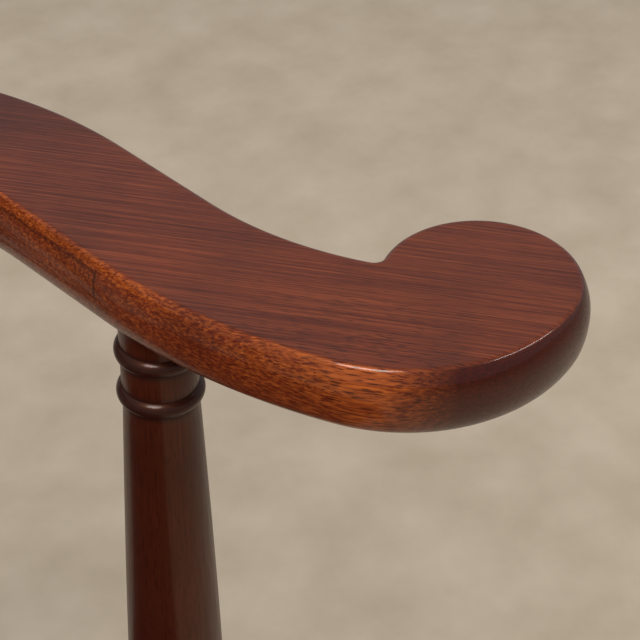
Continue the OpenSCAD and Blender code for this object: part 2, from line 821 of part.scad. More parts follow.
// Height of the crest at an angle off the middle
function crest_height(a) =
    let (t = abs(a) / crest_span, swell = 0.5 + 0.5 * cos(180 * t ^ 1.2))
    crest_end_h + (crest_h - crest_end_h) * swell * (1 - 0.1 * sin(180 * t) ^ 2);

// Section of the crest for the height h: distance from the back arc's centre, and height
function crest_section(h) =
    let (
        back = crest_r + crest_foot_t / 2,
        half = (crest_foot_t - (crest_foot_t - crest_top_t) * h / crest_h) / 2,
        round_h = min(crest_top_t / 2, h * 0.8)
    )
    concat(
        [[back - crest_foot_t, 0], [back, 0]],
        [for (a = [0:18:180]) [back - half + half * cos(a), h - round_h + round_h * sin(a)]]
    );

module crest_blank() {
    steps = 44;
    stacked([for (i = [0:steps])
        let (a = crest_span * (2 * i / steps - 1))
        [for (q = crest_section(crest_height(a)))
            [back_c.x + q[0] * sin(a), back_c.y + q[0] * cos(a), arm_top + q[1]]]]);
}

module crest() {
    color("saddlebrown") difference() {
        crest_blank();
        crest_screw_set(screw_gap);
    }
}

module at_crest_screw(a) {
    translate([back_c.x + crest_r * sin(a), back_c.y + crest_r * cos(a), arm_bottom]) children();
}

module crest_screw_set(grow) {
    for (a = crest_screw_angles)
        at_crest_screw(a) wood_screw(arm_t + crest_screw_bite * crest_height(a) / crest_h, grow);
}

module crest_screws() {
    color("goldenrod") difference() {
        crest_screw_set(0);
        for (a = crest_screw_angles) at_crest_screw(a) screw_slot();
    }
}

// The lift-out seat

// Outline of the seat in the frame's own axes, notched round the three posts and drawn in by d
function seat_outline(d) =
    let (lo = seat_lo + d, hi = seat_hi - d, p = seat_notch - d)
    [[lo, lo], [p, lo], [p, -p], [hi, -p], [hi, p], [p, p], [p, hi], [-p, hi], [-p, p], [lo, p]];

// How many lengths each of its sides is cut into
seat_cuts = let (p = seat_outline(0))
    [for (i = [0:9]) max(1, round(norm(p[(i + 1) % 10] - p[i]) / 42))];

// A ring of the stuffing: drawn in by d, its long sides pulled in by pull, shrunk to the share s
function seat_ring(d, pull, s, z) =
    let (p = seat_outline(d), round_r = (seat_hi - seat_lo) / 2)
    [for (i = [0:9], k = [0:seat_cuts[i] - 1])
        let (
            side = p[(i + 1) % 10] - p[i],
            u = k / seat_cuts[i],
            q = p[i] + side * u + [-side.y, side.x] / norm(side) * pull * 4 * u * (1 - u),
            r = norm(q),
            w = 1 - s
        )
        [each q * s * ((1 - w) + w * round_r / r), z]];

// The crown's rings, from the side wall to near the middle, drawn in by d
crown_shares = [0.93, 0.82, 0.68, 0.5, 0.3, 0.12];
function crown_edge(d) = pad_z + pad_edge_h + cover_t - d;
function crown_rings(d) =
    let (wall = pad_z + 2 + cover_t - d, rise = crown_edge(d) - wall)
    concat(
        [
            seat_ring(d, 0, 1, wall),
            seat_ring(d + 1.2, pad_pull * 0.4, 1, wall + rise * 0.5),
            seat_ring(d + 4, pad_pull * 0.8, 1, wall + rise * 0.85),
            seat_ring(d + 9, pad_pull, 1, crown_edge(d))
        ],
        [for (s = crown_shares) seat_ring(d + 9, pad_pull, s, crown_edge(d) + pad_crown * (1 - s ^ 2.2))]
    );
function crown_top(d) = [0, 0, crown_edge(d) + pad_crown];

// The four bars of the seat's frame, numbered as the rails are
module bar_band(k, grow, z0, z1) {
    inner = bar_w + grow;
    seat_axes() {
        if (k == 0) slab(seat_lo, seat_hi, seat_lo, seat_lo + inner, z0, z1);
        if (k == 1) slab(seat_hi - inner, seat_hi, seat_lo, seat_hi, z0, z1);
        if (k == 2) slab(seat_lo, seat_hi, seat_hi - inner, seat_hi, z0, z1);
        if (k == 3) slab(seat_lo, seat_lo + inner, seat_lo, seat_hi, z0, z1);
    }
}

module seat_bar(k) {
    mid = seat_frame_z + seat_frame_t / 2;
    lower = k % 2 == 0;
    color("burlywood") difference() {
        intersection() {
            bar_band(k, 0, seat_frame_z, web_z);
            translate([0, 0, seat_frame_z]) linear_extrude(seat_frame_t)
                rotate(45) polygon(seat_outline(cover_t + wrap_gap));
        }
        for (j = [(k + 1) % 4, (k + 3) % 4])
            bar_band(j, glue_gap, lower ? mid : seat_frame_z - 1, lower ? web_z + 1 : mid);
        tack_set(tack_gap);
    }
}

module seat_bar_front_right() seat_bar(0);
module seat_bar_back_right() seat_bar(1);
module seat_bar_back_left() seat_bar(2);
module seat_bar_front_left() seat_bar(3);

// Strips of webbing along Y in the frame's own axes, over the height z
module strips(z) {
    far = (seat_hi - seat_lo) / 2 - tack_in;
    for (k = [-1:1])
        translate([seat_mid + k * web_pitch - web_w / 2, seat_mid - far, z]) cube([web_w, 2 * far, web_t]);
}

module webbing_lengthways() {
    color("tan") seat_axes() strips(web_z);
}

module webbing_crossways() {
    color("tan") seat_axes() mirror([1, -1, 0]) strips(web_z + web_t);
}

module hessian() {
    color("burlywood") translate([0, 0, web_z + 2 * web_t]) linear_extrude(hessian_t)
        rotate(45) polygon(seat_outline(cover_t + 5));
}

module seat_stuffing() {
    d = cover_t + wrap_gap;
    color("wheat") seat_axes() stacked_fans(
        concat([seat_ring(d, 0, 1, pad_z)], crown_rings(d)), [0, 0, pad_z], crown_top(d)
    );
}

// The covering runs over the stuffing, down the sides and under the bars
module seat_cover() {
    color("darkred") difference() {
        seat_axes() stacked_fans(
            concat(
                reversed(crown_rings(cover_t)),
                [
                    seat_ring(cover_t, 0, 1, seat_frame_z), seat_ring(cover_turn, 0, 1, seat_frame_z),
                    seat_ring(cover_turn, 0, 1, seat_floor), seat_ring(0, 0, 1, seat_floor)
                ],
                crown_rings(0)
            ),
            crown_top(cover_t), crown_top(0)
        );
        tack_set(tack_gap);
    }
}

// Rows of tacks under the seat, along its four sides
module tack_spots() {
    far = seat_notch - 2 * tack_in;
    for (k = [0:3], i = [0:tack_count - 1]) {
        across = far * (2 * i / (tack_count - 1) - 1);
        in = k == 0 || k == 3 ? -seat_lo : seat_hi;
        on_side(k) translate([across, tack_in - in]) children();
    }
}

module tack_set(grow) {
    tack_spots() translate([0, 0, seat_floor - dust_t - tack_head_t]) {
        cylinder(h = tack_head_t, r = tack_head_r);
        cylinder(h = tack_head_t + tack_l, r = tack_r + grow);
    }
}

module cover_tacks() {
    color("dimgray") tack_set(0);
}

// Cut out round the front leg, whose top the seat rests on
module dust_cover() {
    color("black") translate([0, 0, seat_floor - dust_t]) difference() {
        linear_extrude(dust_t) rotate(45) polygon(seat_outline(rebate_w + seat_gap));
        translate([0, 0, -1]) linear_extrude(dust_t + 2) {
            at_corner(0) leg_section(seat_gap);
            tack_spots() circle(tack_r + tack_gap);
        }
    }
}

front_leg();
right_post();
back_post();
left_post();
front_right_rail();
back_right_rail();
back_left_rail();
front_left_rail();
side_stretcher();
middle_stretcher();
corner_blocks();
block_screws();
rail_pegs();
right_shoe();
left_shoe();
right_splat();
left_splat();
right_hand_piece();
left_hand_piece();
right_arm_back();
left_arm_back();
lap_dowels();
crest();
crest_screws();
seat_bar_front_right();
seat_bar_back_right();
seat_bar_back_left();
seat_bar_front_left();
webbing_lengthways();
webbing_crossways();
hessian();
seat_stuffing();
seat_cover();
cover_tacks();
dust_cover();
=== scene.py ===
"""A corner chair in mahogany: a horseshoe arm with scrolled hand rests, turned posts,
pierced splats, crossed stretchers and a padded seat that lifts out."""

import math

import bmesh
import bpy
from mathutils import Matrix, Vector


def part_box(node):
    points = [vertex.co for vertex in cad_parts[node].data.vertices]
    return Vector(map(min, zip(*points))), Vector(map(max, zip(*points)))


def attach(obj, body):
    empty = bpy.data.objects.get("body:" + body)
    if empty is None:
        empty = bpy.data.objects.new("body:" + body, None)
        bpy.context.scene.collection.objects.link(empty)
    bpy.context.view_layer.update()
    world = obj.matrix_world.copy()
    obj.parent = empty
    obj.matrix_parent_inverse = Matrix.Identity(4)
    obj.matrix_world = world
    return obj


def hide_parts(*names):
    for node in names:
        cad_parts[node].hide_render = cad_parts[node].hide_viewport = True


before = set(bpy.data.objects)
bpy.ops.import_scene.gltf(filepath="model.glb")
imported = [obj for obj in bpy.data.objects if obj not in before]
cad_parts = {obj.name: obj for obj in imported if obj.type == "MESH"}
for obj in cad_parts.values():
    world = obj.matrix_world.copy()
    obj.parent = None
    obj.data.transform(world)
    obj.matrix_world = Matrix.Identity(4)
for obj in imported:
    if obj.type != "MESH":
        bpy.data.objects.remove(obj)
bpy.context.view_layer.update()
MM = 0.001
UP = Vector((0, 0, 1))

# Heights and places read from the frame

arm_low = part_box("right_arm_back")[0].z
arm_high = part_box("right_arm_back")[1].z
arm_mid = (arm_low + arm_high) / 2
rail_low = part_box("back_right_rail")[0].z
rail_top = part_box("back_right_rail")[1].z
seat_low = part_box("seat_cover")[0].z
seat_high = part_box("seat_cover")[1].z

# Sizes of the seat frame, whose sides are turned 45 degrees from the chair's, and of the legs

cornerwise = 45
half_side = 215 * MM
leg_w = 45 * MM
leg_corner_r = 4 * MM
leg_chamfer = 14 * MM
inner_post = half_side - leg_w
post_x = (half_side - leg_w / 2) * math.sqrt(2)
front_rail_t = 22 * MM
back_rail_t = 30 * MM
rebate_w = 12 * MM
ledge = rail_top - 16 * MM
rail_edge_r = 5 * MM
block_top = rail_top + 16 * MM
edge_break = 0.8 * MM

# Sizes of the turned columns

foot_r = 21 * MM
foot_lip_r = foot_r + 0.8 * MM
ring_drop = 18.5 * MM
ring_gap = 21 * MM
upper_ring = arm_low - ring_drop
lower_ring = upper_ring - ring_gap

# The arm's plan and section

arm_w = 63 * MM
arm_outset = 5.5 * MM
side_x = post_x + arm_outset
joint_y = 5 * MM
lap = 50 * MM
side_r = 180 * MM
side_y = 60 * MM
outer_sweep_r = 145 * MM
inner_sweep_r = 260 * MM
sweep_turn = 24
roll_r = 75 * MM
roll_turn = 16
scroll_r = 41.5 * MM
notch_r = 1.5 * MM
edge_r = 2.5 * MM
side_swell = 3 * MM
under_in = 9 * MM
under_up = 19 * MM


def turned(degrees):
    """A level direction, in degrees from the chair's right."""
    return Vector((math.cos(math.radians(degrees)), math.sin(math.radians(degrees)), 0))


def degrees_of(v):
    return math.degrees(math.atan2(v.y, v.x))


back_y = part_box("right_arm_back")[1].y - arm_w / 2
side_c = Vector((side_x - side_r, side_y, 0))
back_drop = side_y - back_y
back_r = (side_r**2 - side_c.x**2 - back_drop**2) / (2 * (back_drop + side_r))
back_c = Vector((0, back_y - back_r, 0))
arc_joint = degrees_of(side_c - back_c)
lap_turn = math.degrees(lap / 2 / back_r)

inner_sweep_c = Vector((side_x - arm_w / 2 + inner_sweep_r, joint_y, 0))
outer_sweep_c = Vector((side_x + arm_w / 2 + outer_sweep_r, joint_y, 0))
roll_c = inner_sweep_c - (inner_sweep_r - roll_r) * turned(sweep_turn)
scroll_c = roll_c + (roll_r - scroll_r) * turned(roll_turn - 90)

# The notch beside the scroll touches the outer sweep from inside and the scroll from outside
to_sweep = outer_sweep_r - notch_r
to_scroll = scroll_r + notch_r
apart = (outer_sweep_c - scroll_c).length
notch_run = (to_sweep**2 - to_scroll**2 + apart**2) / (2 * apart)
notch_way = (scroll_c - outer_sweep_c) / apart
notch_c = outer_sweep_c + notch_run * notch_way
notch_c -= math.sqrt(to_sweep**2 - notch_run**2) * UP.cross(notch_way)
notch_from_scroll = degrees_of(notch_c - scroll_c)
notch_from_sweep = 180 + degrees_of(outer_sweep_c - notch_c)

# The crest's foot on the arm's back, and the screws below it, in degrees off the middle

crest_foot_t = 36 * MM
crest_inset = 5.5 * MM
crest_back = back_r + arm_w / 2 - crest_inset
crest_screw_r = crest_back - crest_foot_t / 2
screw_bore_r = 4.5 * MM
CREST_SCREWS = (-21, -9, 9, 21)

# Camera, at the photograph's angle on the right arm

camera = bpy.data.objects.new("camera", bpy.data.cameras.new("camera"))
bpy.context.scene.collection.objects.link(camera)
camera.data.sensor_width = 36
camera.data.lens = 126.7
camera.data.clip_start = 0.05
camera.location = (post_x - 0.433, -0.549, arm_high + 0.5068)
camera.rotation_mode = "QUATERNION"
camera.rotation_quaternion = Vector((0.542, 0.571, -0.616)).to_track_quat("-Z", "Y")
bpy.context.scene.camera = camera
bpy.context.scene.view_settings.view_transform = "Standard"


# Finishes, each made of nodes on object coordinates


class Finish:
    """A material, or the world, that is built up node by node."""

    def __init__(self, name, made=None, shader="Principled BSDF"):
        self.material = made or bpy.data.materials.new(name)
        self.material.use_nodes = True
        self.tree = self.material.node_tree
        self.shader = self.tree.nodes[shader]
        if made:
            return
        self.place = self.node("ShaderNodeTexCoord").outputs["Object"]
        self.facing = self.node("ShaderNodeNewGeometry").outputs["Normal"]

    def node(self, kind, inputs=None, **settings):
        made = self.tree.nodes.new(kind)
        for key, value in settings.items():
            setattr(made, key, value)
        for key, value in (inputs or {}).items():
            self.feed(made.inputs[key], value)
        return made

    def feed(self, socket, value):
        if isinstance(value, bpy.types.NodeSocket):
            self.tree.links.new(value, socket)
        elif socket.type == "RGBA":
            socket.default_value = (*value[:3], 1)
        else:
            socket.default_value = value

    def moved(self, vector, scale=(1, 1, 1), turn=(0, 0, 0), shift=(0, 0, 0)):
        inputs = {"Vector": vector, "Scale": scale, "Rotation": turn, "Location": shift}
        return self.node("ShaderNodeMapping", inputs).outputs["Vector"]

    def board(self, grain, shift=0.0):
        """The place, turned so that its X runs along the grain, and shifted to another board."""
        turn = Vector(grain).rotation_difference(Vector((1, 0, 0))).to_euler()
        return self.moved(self.place, turn=turn, shift=(shift, 0.37 * shift, 0.21 * shift))

    def noise(self, vector, scale=1, detail=2, roughness=0.5, distortion=0):
        inputs = {"Vector": vector, "Scale": scale, "Detail": detail,
                  "Roughness": roughness, "Distortion": distortion}
        return self.node("ShaderNodeTexNoise", inputs).outputs["Fac"]

    def fibrous(self, board, along, across, detail=2, roughness=0.5, distortion=0):
        """Noise with one scale along the grain and another across it."""
        drawn_out = self.moved(board, scale=(along, across, across))
        return self.noise(drawn_out, 1, detail, roughness, distortion)

    def cells(self, board, along, across, shift=(0, 0, 0)):
        """Distance from the middle of cells that are drawn out along the grain."""
        drawn_out = self.moved(board, scale=(along, across, across), shift=shift)
        return self.node("ShaderNodeTexVoronoi", {"Vector": drawn_out, "Scale": 1}).outputs["Distance"]

    def math(self, operation, a, b=0.0, c=0.0):
        return self.node("ShaderNodeMath", {0: a, 1: b, 2: c}, operation=operation).outputs["Value"]

    def blended(self, *weighted):
        """Values, each times its weight, added up."""
        total = 0.0
        for value, weight in weighted:
            total = self.math("MULTIPLY_ADD", value, weight, total)
        return total

    def between(self, value, other):
        """How far apart two values are."""
        return self.math("ABSOLUTE", self.math("SUBTRACT", value, other))

    def parts(self, vector):
        return self.node("ShaderNodeSeparateXYZ", {0: vector}).outputs

    def span(self, value, low, high, to_low=0.0, to_high=1.0):
        inputs = {"Value": value, "From Min": low, "From Max": high,
                  "To Min": to_low, "To Max": to_high}
        return self.node("ShaderNodeMapRange", inputs).outputs["Result"]

    def ramp(self, value, *stops):
        made = self.node("ShaderNodeValToRGB", {"Fac": value})
        points = made.color_ramp.elements
        while len(points) < len(stops):
            points.new(0.5)
        for point, (at, colour) in zip(points, stops):
            point.position = at
            point.color = (*colour, 1)
        return made.outputs["Color"]

    def mix(self, share, a, b, blend="MIX"):
        made = self.node("ShaderNodeMix", data_type="RGBA", blend_type=blend)
        self.feed(made.inputs[0], share)
        self.feed(made.inputs[6], a)
        self.feed(made.inputs[7], b)
        return made.outputs[2]

    def bump(self, height, strength, distance):
        inputs = {"Height": height, "Strength": strength, "Distance": distance}
        return self.node("ShaderNodeBump", inputs).outputs["Normal"]

    def looked_at(self):
        """1 where the camera sees a surface, also in a reflection or through glass."""
        path = self.node("ShaderNodeLightPath").outputs
        seen = self.math("MAXIMUM", path["Is Camera Ray"], path["Is Glossy Ray"])
        return self.math("MAXIMUM", seen, path["Is Transmission Ray"])

    def set(self, **values):
        for key, value in values.items():
            self.feed(self.shader.inputs[key.replace("_", " ")], value)


def toned(tone, *stops):
    """A ramp's stops with their colours scaled."""
    return [(at, tuple(tone * c for c in colour)) for at, colour in stops]


FACE_WOOD = (
    (0.0, (0.036, 0.0066, 0.0035)),
    (0.45, (0.098, 0.0188, 0.0079)),
    (1.0, (0.220, 0.0505, 0.0165)),
)
# Painted light: a brighter orange copy of the wood for an arm's edges that face the light
LIT_EDGE_WOOD = (
    (0.0, (0.050, 0.0060, 0.0024)),
    (0.45, (0.135, 0.0190, 0.0048)),
    (1.0, (0.420, 0.0980, 0.0170)),
)
# Painted shade: a darker copy of the wood for an arm's upright faces, which turn away from the light
SHADED_SIDE_WOOD = (
    (0.0, (0.011, 0.0008, 0.0005)),
    (0.45, (0.032, 0.0022, 0.0012)),
    (1.0, (0.070, 0.0060, 0.0024)),
)
PORE_WOOD = (0.014, 0.0030, 0.0020)
# Dark of the glue joint, also used for the painted shade line under an arm's top edge
GLUE_AND_SHADE_LINE = (0.012, 0.003, 0.002)
# Old wax and painted shade on the turned rings
WAX_AND_RING_SHADE = (0.010, 0.004, 0.004)

# The edge of an arm gets painted light, partly rubbed wear, along its rounded top, and most where the
# hand rests

lit_rim_h = 4 * MM
# Centre of a pool of painted light, partly rubbed wear, where the hand rests
hand_wear_and_light_spot = roll_c + roll_r * turned(209)


def mahogany(name, grain, tone=1.0, shift=0.0, calm=0.0, worn=None, rings=()):
    """Polished mahogany. Its fibres run along grain, tone scales its colour and calm evens it
    out. On an arm, the edges that face the way worn points get painted orange light, its upright
    faces painted shade, and its glue joints and a line of painted shade show there. Turned rings
    at the given heights are darkened by old wax and painted shade."""
    finish = Finish(name)
    board = finish.board(grain, shift)
    wander = finish.fibrous(board, 6, 14)
    bands = finish.fibrous(board, 2.4, 40, 2, 0.5, 0.4)
    streaks = finish.fibrous(board, 11, 980, 2, 0.6, 0.4)
    fibres = finish.fibrous(board, 26, 1700, 2, 0.6)
    figure = finish.fibrous(board, 26, 7)
    pores = finish.span(finish.cells(board, 120, 1050), 0.28, 0.13)
    flecks = finish.span(finish.cells(board, 80, 700, (0.3, 0.1, 0.2)), 0.34, 0.14, 0.0, 0.8)
    dots = finish.math("MAXIMUM", pores, flecks)

    tones = finish.blended((bands, 0.26), (streaks, 0.66), (fibres, 0.36), (wander, 0.20))
    tones = finish.span(tones, 0.52 - calm, 0.98 + calm)
    colour = finish.ramp(tones, *toned(tone, *FACE_WOOD))
    colour = finish.mix(finish.span(wander, 0.42, 0.62), colour, (1.12, 1.05, 0.86), "MULTIPLY")
    pore_share = 0.55
    # On an arm: painted light on the edges facing the way worn points, painted shade on upright faces
    if worn:
        colour, pore_share = edge_light_and_shade(finish, board, tones, colour, tone, worn)
    pore_colour = tuple(tone * c for c in PORE_WOOD)
    colour = finish.mix(finish.math("MULTIPLY", dots, pore_share), colour, pore_colour)
    colour = finish.mix(finish.span(figure, 0.35, 0.7, 0.0, 0.3), colour, pore_colour)
    if worn:
        # Glue joints, and a line of painted shade under the top edge
        colour = finish.mix(glue_and_shade_lines(finish), colour, GLUE_AND_SHADE_LINE)
    # The rings are darkened: old wax, and painted shade in their recesses
    for ring in rings:
        beside = finish.between(finish.parts(finish.place)["Z"], ring)
        colour = finish.mix(finish.span(beside, 7 * MM, 4 * MM, 0.0, 0.75), colour, WAX_AND_RING_SHADE)

    dent = finish.bump(finish.math("SUBTRACT", 1.0, dots), 0.25, 0.05 * MM)
    ripple = finish.bump(finish.fibrous(board, 20, 70), 0.12, 0.4 * MM)
    finish.set(Base_Color=colour, Roughness=finish.span(streaks, 0.3, 0.7, 0.5, 0.36), Normal=dent)
    finish.set(Specular_IOR_Level=0.25, Specular_Tint=(1.0, 0.32, 0.10))
    finish.set(Coat_Weight=0.5 if worn else 0.3, Coat_Roughness=0.13 if worn else 0.18)
    finish.set(Coat_IOR=1.5, Coat_Normal=ripple)
    return finish.material


def edge_light_and_shade(finish, board, tones, colour, tone, worn):
    """Paints an arm's upright faces darker as shade, and the edges that face the way worn points
    orange as painted light, most of all along their rounded top and where the hand rests, which is
    painted light and also wear. Returns the colour and the pores' share."""
    facing = finish.parts(finish.facing)
    # Painted shade: the arm's upright faces get the darker, shaded copy of the wood
    upright = finish.span(facing["Z"], 0.95, 0.6)
    colour = finish.mix(upright, colour, finish.ramp(tones, *toned(tone, *SHADED_SIDE_WOOD)))

    level = finish.math("MULTIPLY_ADD", facing["Z"], finish.math("MULTIPLY", facing["Z"], -1.0), 1.0)
    towards = finish.blended((facing["X"], worn.x), (facing["Y"], worn.y))
    towards = finish.math("DIVIDE", towards, finish.math("SQRT", finish.math("MAXIMUM", level, 0.01)))
    off_top = finish.span(facing["Z"], 0.985, 0.85)
    # Painted light: edges that face the way worn points are painted orange, as if lit from there
    lit_edge = finish.math("MULTIPLY", finish.span(towards, 0.72, 0.94), off_top)

    point = finish.parts(finish.place)
    rim_low = arm_high - lit_rim_h
    # Painted light, partly rubbed wear: the top few millimetres of the edge, the rim, get brighter tones
    rim = finish.span(point["Z"], rim_low - 0.6 * MM, rim_low + 0.6 * MM, 0.0, 0.14)
    # Painted light, partly wear: the edge is brighter and more porous near where the hand rests
    beside = finish.math("SUBTRACT", finish.math("ABSOLUTE", point["X"]), hand_wear_and_light_spot.x)
    beyond = finish.math("SUBTRACT", point["Y"], hand_wear_and_light_spot.y)
    off_spot = finish.math("SQRT", finish.blended((beyond, beyond), (beside, beside)))
    hand = finish.span(off_spot, 65 * MM, 10 * MM, 0.0, 0.24)

    speckle = finish.span(finish.fibrous(board, 220, 1900, 3, 0.7), 0.36, 0.64, -0.5, 0.5)
    edge_tones = finish.math("MULTIPLY_ADD", speckle, 0.24, tones)
    # The painted light of the rim and of the hand's spot brightens the edge's tones
    edge_tones = finish.math("ADD", finish.math("MAXIMUM", rim, hand), edge_tones)
    colour = finish.mix(lit_edge, colour, finish.ramp(edge_tones, *toned(tone, *LIT_EDGE_WOOD)))
    return colour, finish.math("MULTIPLY_ADD", hand, 2.5, 0.38)


def glue_and_shade_lines(finish):
    """Where an arm's edge is dark: its glue joint, and a soft line of painted shade under the rounded top
    edge.
    """
    point = finish.parts(finish.place)
    rim_low = arm_high - lit_rim_h
    glue = finish.span(finish.between(point["Y"], joint_y), 1.0 * MM, 0.2 * MM, 0.0, 0.8)
    glue = finish.math("MULTIPLY", glue, finish.math("GREATER_THAN", point["Z"], arm_mid))
    glue = finish.math("MULTIPLY", glue, finish.math("LESS_THAN", point["Z"], rim_low))
    # Painted shade: a soft dark line just under the rounded top edge, in the crease's shade
    line = finish.span(finish.between(point["Z"], rim_low - 1 * MM), 1.2 * MM, 0.2 * MM, 0.0, 0.5)
    line = finish.math("MULTIPLY", line, finish.math("GREATER_THAN", point["Y"], joint_y))
    return finish.math("MAXIMUM", glue, line)


def pale_wood(name, grain):
    """Plain unpolished beech of the hidden blocks and bars."""
    finish = Finish(name)
    board = finish.board(grain)
    bands = finish.fibrous(board, 3, 60, 4, 0.6, 0.3)
    fibres = finish.fibrous(board, 30, 700, 3, 0.6)
    flecks = finish.span(finish.cells(board, 180, 700), 0.3, 0.15)
    tones = finish.span(finish.blended((bands, 0.7), (fibres, 0.4)), 0.35, 0.8)
    colour = finish.ramp(tones, (0.0, (0.33, 0.19, 0.09)), (1.0, (0.60, 0.42, 0.24)))
    colour = finish.mix(finish.math("MULTIPLY", flecks, 0.4), colour, (0.24, 0.12, 0.05))
    finish.set(Base_Color=colour, Roughness=0.62, Normal=finish.bump(fibres, 0.3, 0.2 * MM))
    return finish.material


def metal(name, colour, dull, roughness):
    """A worn metal, with darker spots of tarnish."""
    finish = Finish(name)
    tarnish = finish.noise(finish.place, 420, 4, 0.65)
    scratches = finish.noise(finish.moved(finish.place, scale=(900, 200, 2600)))
    worn = finish.span(tarnish, 0.42, 0.68)
    finish.set(Base_Color=finish.mix(worn, colour, dull), Metallic=1.0)
    finish.set(Roughness=finish.span(tarnish, 0.35, 0.7, roughness, roughness + 0.3))
    finish.set(Normal=finish.bump(scratches, 0.15, 0.05 * MM))
    return finish.material


def woven(name, dark, light, pitch, relief=0.35, sheen=0.25):
    """A plain weave of that thread pitch, turned to the seat's sides, also on upright faces."""
    finish = Finish(name)
    to_seat = (0, 0, math.radians(-cornerwise))
    square = finish.moved(finish.place, turn=to_seat)
    facing = finish.parts(finish.moved(finish.facing, turn=to_seat))
    turns = [finish.math("MULTIPLY", part, math.pi / pitch) for part in finish.parts(square)]
    x, y, z = [finish.math("SINE", turn) for turn in turns]
    weave = 0.0
    for across, over, under in ((facing["Z"], x, y), (facing["X"], y, z), (facing["Y"], x, z)):
        crossing = finish.math("ABSOLUTE", finish.math("MULTIPLY", over, under))
        weight = finish.math("MULTIPLY", across, across)
        weave = finish.math("MULTIPLY_ADD", crossing, weight, weave)
    cloud = finish.noise(finish.place, 14, 3, 0.6)
    slub = finish.fibrous(square, 60, 700)
    tones = finish.span(finish.blended((cloud, 0.3), (weave, 0.55), (slub, 0.3)), 0.15, 0.85)
    colour = finish.ramp(tones, (0.0, dark), (1.0, light))
    finish.set(Base_Color=colour, Roughness=0.85, Specular_IOR_Level=0.25)
    finish.set(Sheen_Weight=sheen, Sheen_Roughness=0.45, Normal=finish.bump(weave, relief, 0.35 * MM))
    return finish.material


# Each arm's worn way is the direction its edges' painted light comes from
arm_wood = mahogany("arm_mahogany", turned(-56), worn=turned(197))
left_arm_wood = mahogany("left_arm_mahogany", turned(-124), shift=0.4, worn=turned(-17))
post_wood = mahogany(
    "turned_mahogany", UP, tone=0.40, shift=0.9, calm=0.6, rings=(upper_ring, lower_ring)
)
rail_wood = mahogany("rail_mahogany", turned(cornerwise), tone=0.8, shift=1.7)
cross_rail_wood = mahogany("cross_rail_mahogany", turned(-cornerwise), tone=0.8, shift=2.3)
crest_wood = mahogany("crest_mahogany", Vector((1, 0, 0)), tone=0.85, shift=3.1)
splat_wood = mahogany("splat_mahogany", UP, tone=0.8, shift=4.4)
long_wood = mahogany("stretcher_mahogany", Vector((1, 0, 0)), tone=0.6, shift=5.2)
deep_wood = mahogany("middle_stretcher_mahogany", Vector((0, 1, 0)), tone=0.6, shift=6.1)
block_wood = pale_wood("block_beech", turned(90))
bar_wood = pale_wood("bar_beech", turned(cornerwise))
cross_bar_wood = pale_wood("cross_bar_beech", turned(-cornerwise))
brass = metal("screw_brass", (0.62, 0.42, 0.14), (0.20, 0.12, 0.05), 0.28)
steel = metal("tack_steel_blue", (0.22, 0.23, 0.25), (0.07, 0.05, 0.04), 0.35)
wool = woven("claret_wool", (0.050, 0.008, 0.008), (0.200, 0.034, 0.026), 1.3 * MM)
jute = woven("jute_webbing", (0.22, 0.15, 0.08), (0.55, 0.43, 0.27), 2.0 * MM, relief=0.6, sheen=0.1)
sacking = woven("hessian_jute", (0.20, 0.13, 0.07), (0.48, 0.36, 0.21), 1.8 * MM, relief=0.6, sheen=0.1)
black_cloth = woven("dust_cotton", (0.008, 0.008, 0.009), (0.030, 0.029, 0.030), 0.8 * MM, sheen=0.1)


# Pieces, and what is done to them


def new_piece(bm, name, finish, *stands_for, body="chair", slot="mahogany"):
    """Makes a named object of a bmesh, which rides on a body and stands for CAD nodes."""
    bmesh.ops.recalc_face_normals(bm, faces=bm.faces)
    piece = scratch(bm, name)
    piece.data.materials.append(finish)
    shade(piece)
    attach(piece, body)
    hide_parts(*stands_for)
    return piece


def scratch(bm, name="cutter"):
    """Makes an object of a bmesh and nothing more."""
    mesh = bpy.data.meshes.new(name)
    bm.to_mesh(mesh)
    bm.free()
    made = bpy.data.objects.new(name, mesh)
    bpy.context.scene.collection.objects.link(made)
    return made


def shade(piece, smooth=35):
    """Smooth shading, with edges sharper than the given angle kept crisp."""
    for face in piece.data.polygons:
        face.use_smooth = True
    piece.data.set_sharp_from_angle(angle=math.radians(smooth))


def settle(piece):
    """Applies a piece's modifiers to its mesh."""
    bpy.context.view_layer.update()
    seen = piece.evaluated_get(bpy.context.evaluated_depsgraph_get())
    mesh = bpy.data.meshes.new_from_object(seen)
    piece.modifiers.clear()
    piece.data = mesh


def combine(piece, bm, operation="DIFFERENCE"):
    """Cuts a bmesh out of a piece, or joins or keeps what they share."""
    bmesh.ops.recalc_face_normals(bm, faces=bm.faces)
    tool = scratch(bm)
    boolean = piece.modifiers.new("boolean", "BOOLEAN")
    boolean.operation, boolean.solver, boolean.object = operation, "EXACT", tool
    settle(piece)
    bpy.data.objects.remove(tool)


def block(low, high, place=None):
    """A box between two corners, as a bmesh."""
    bm = bmesh.new()
    low, high = Vector(low), Vector(high)
    bmesh.ops.create_cube(bm, size=1)
    bmesh.ops.scale(bm, vec=high - low, verts=bm.verts)
    bmesh.ops.translate(bm, vec=(low + high) / 2, verts=bm.verts)
    if place:
        bmesh.ops.transform(bm, matrix=place, verts=bm.verts)
    return bm


def verts_in(geom):
    return [g for g in geom if isinstance(g, bmesh.types.BMVert)]


def thicken(bm, depth):
    """Runs a bmesh's flat faces through a depth along Z."""
    far = bmesh.ops.extrude_face_region(bm, geom=bm.faces[:])["geom"]
    bmesh.ops.translate(bm, vec=(0, 0, depth), verts=verts_in(far))
    bmesh.ops.recalc_face_normals(bm, faces=bm.faces)


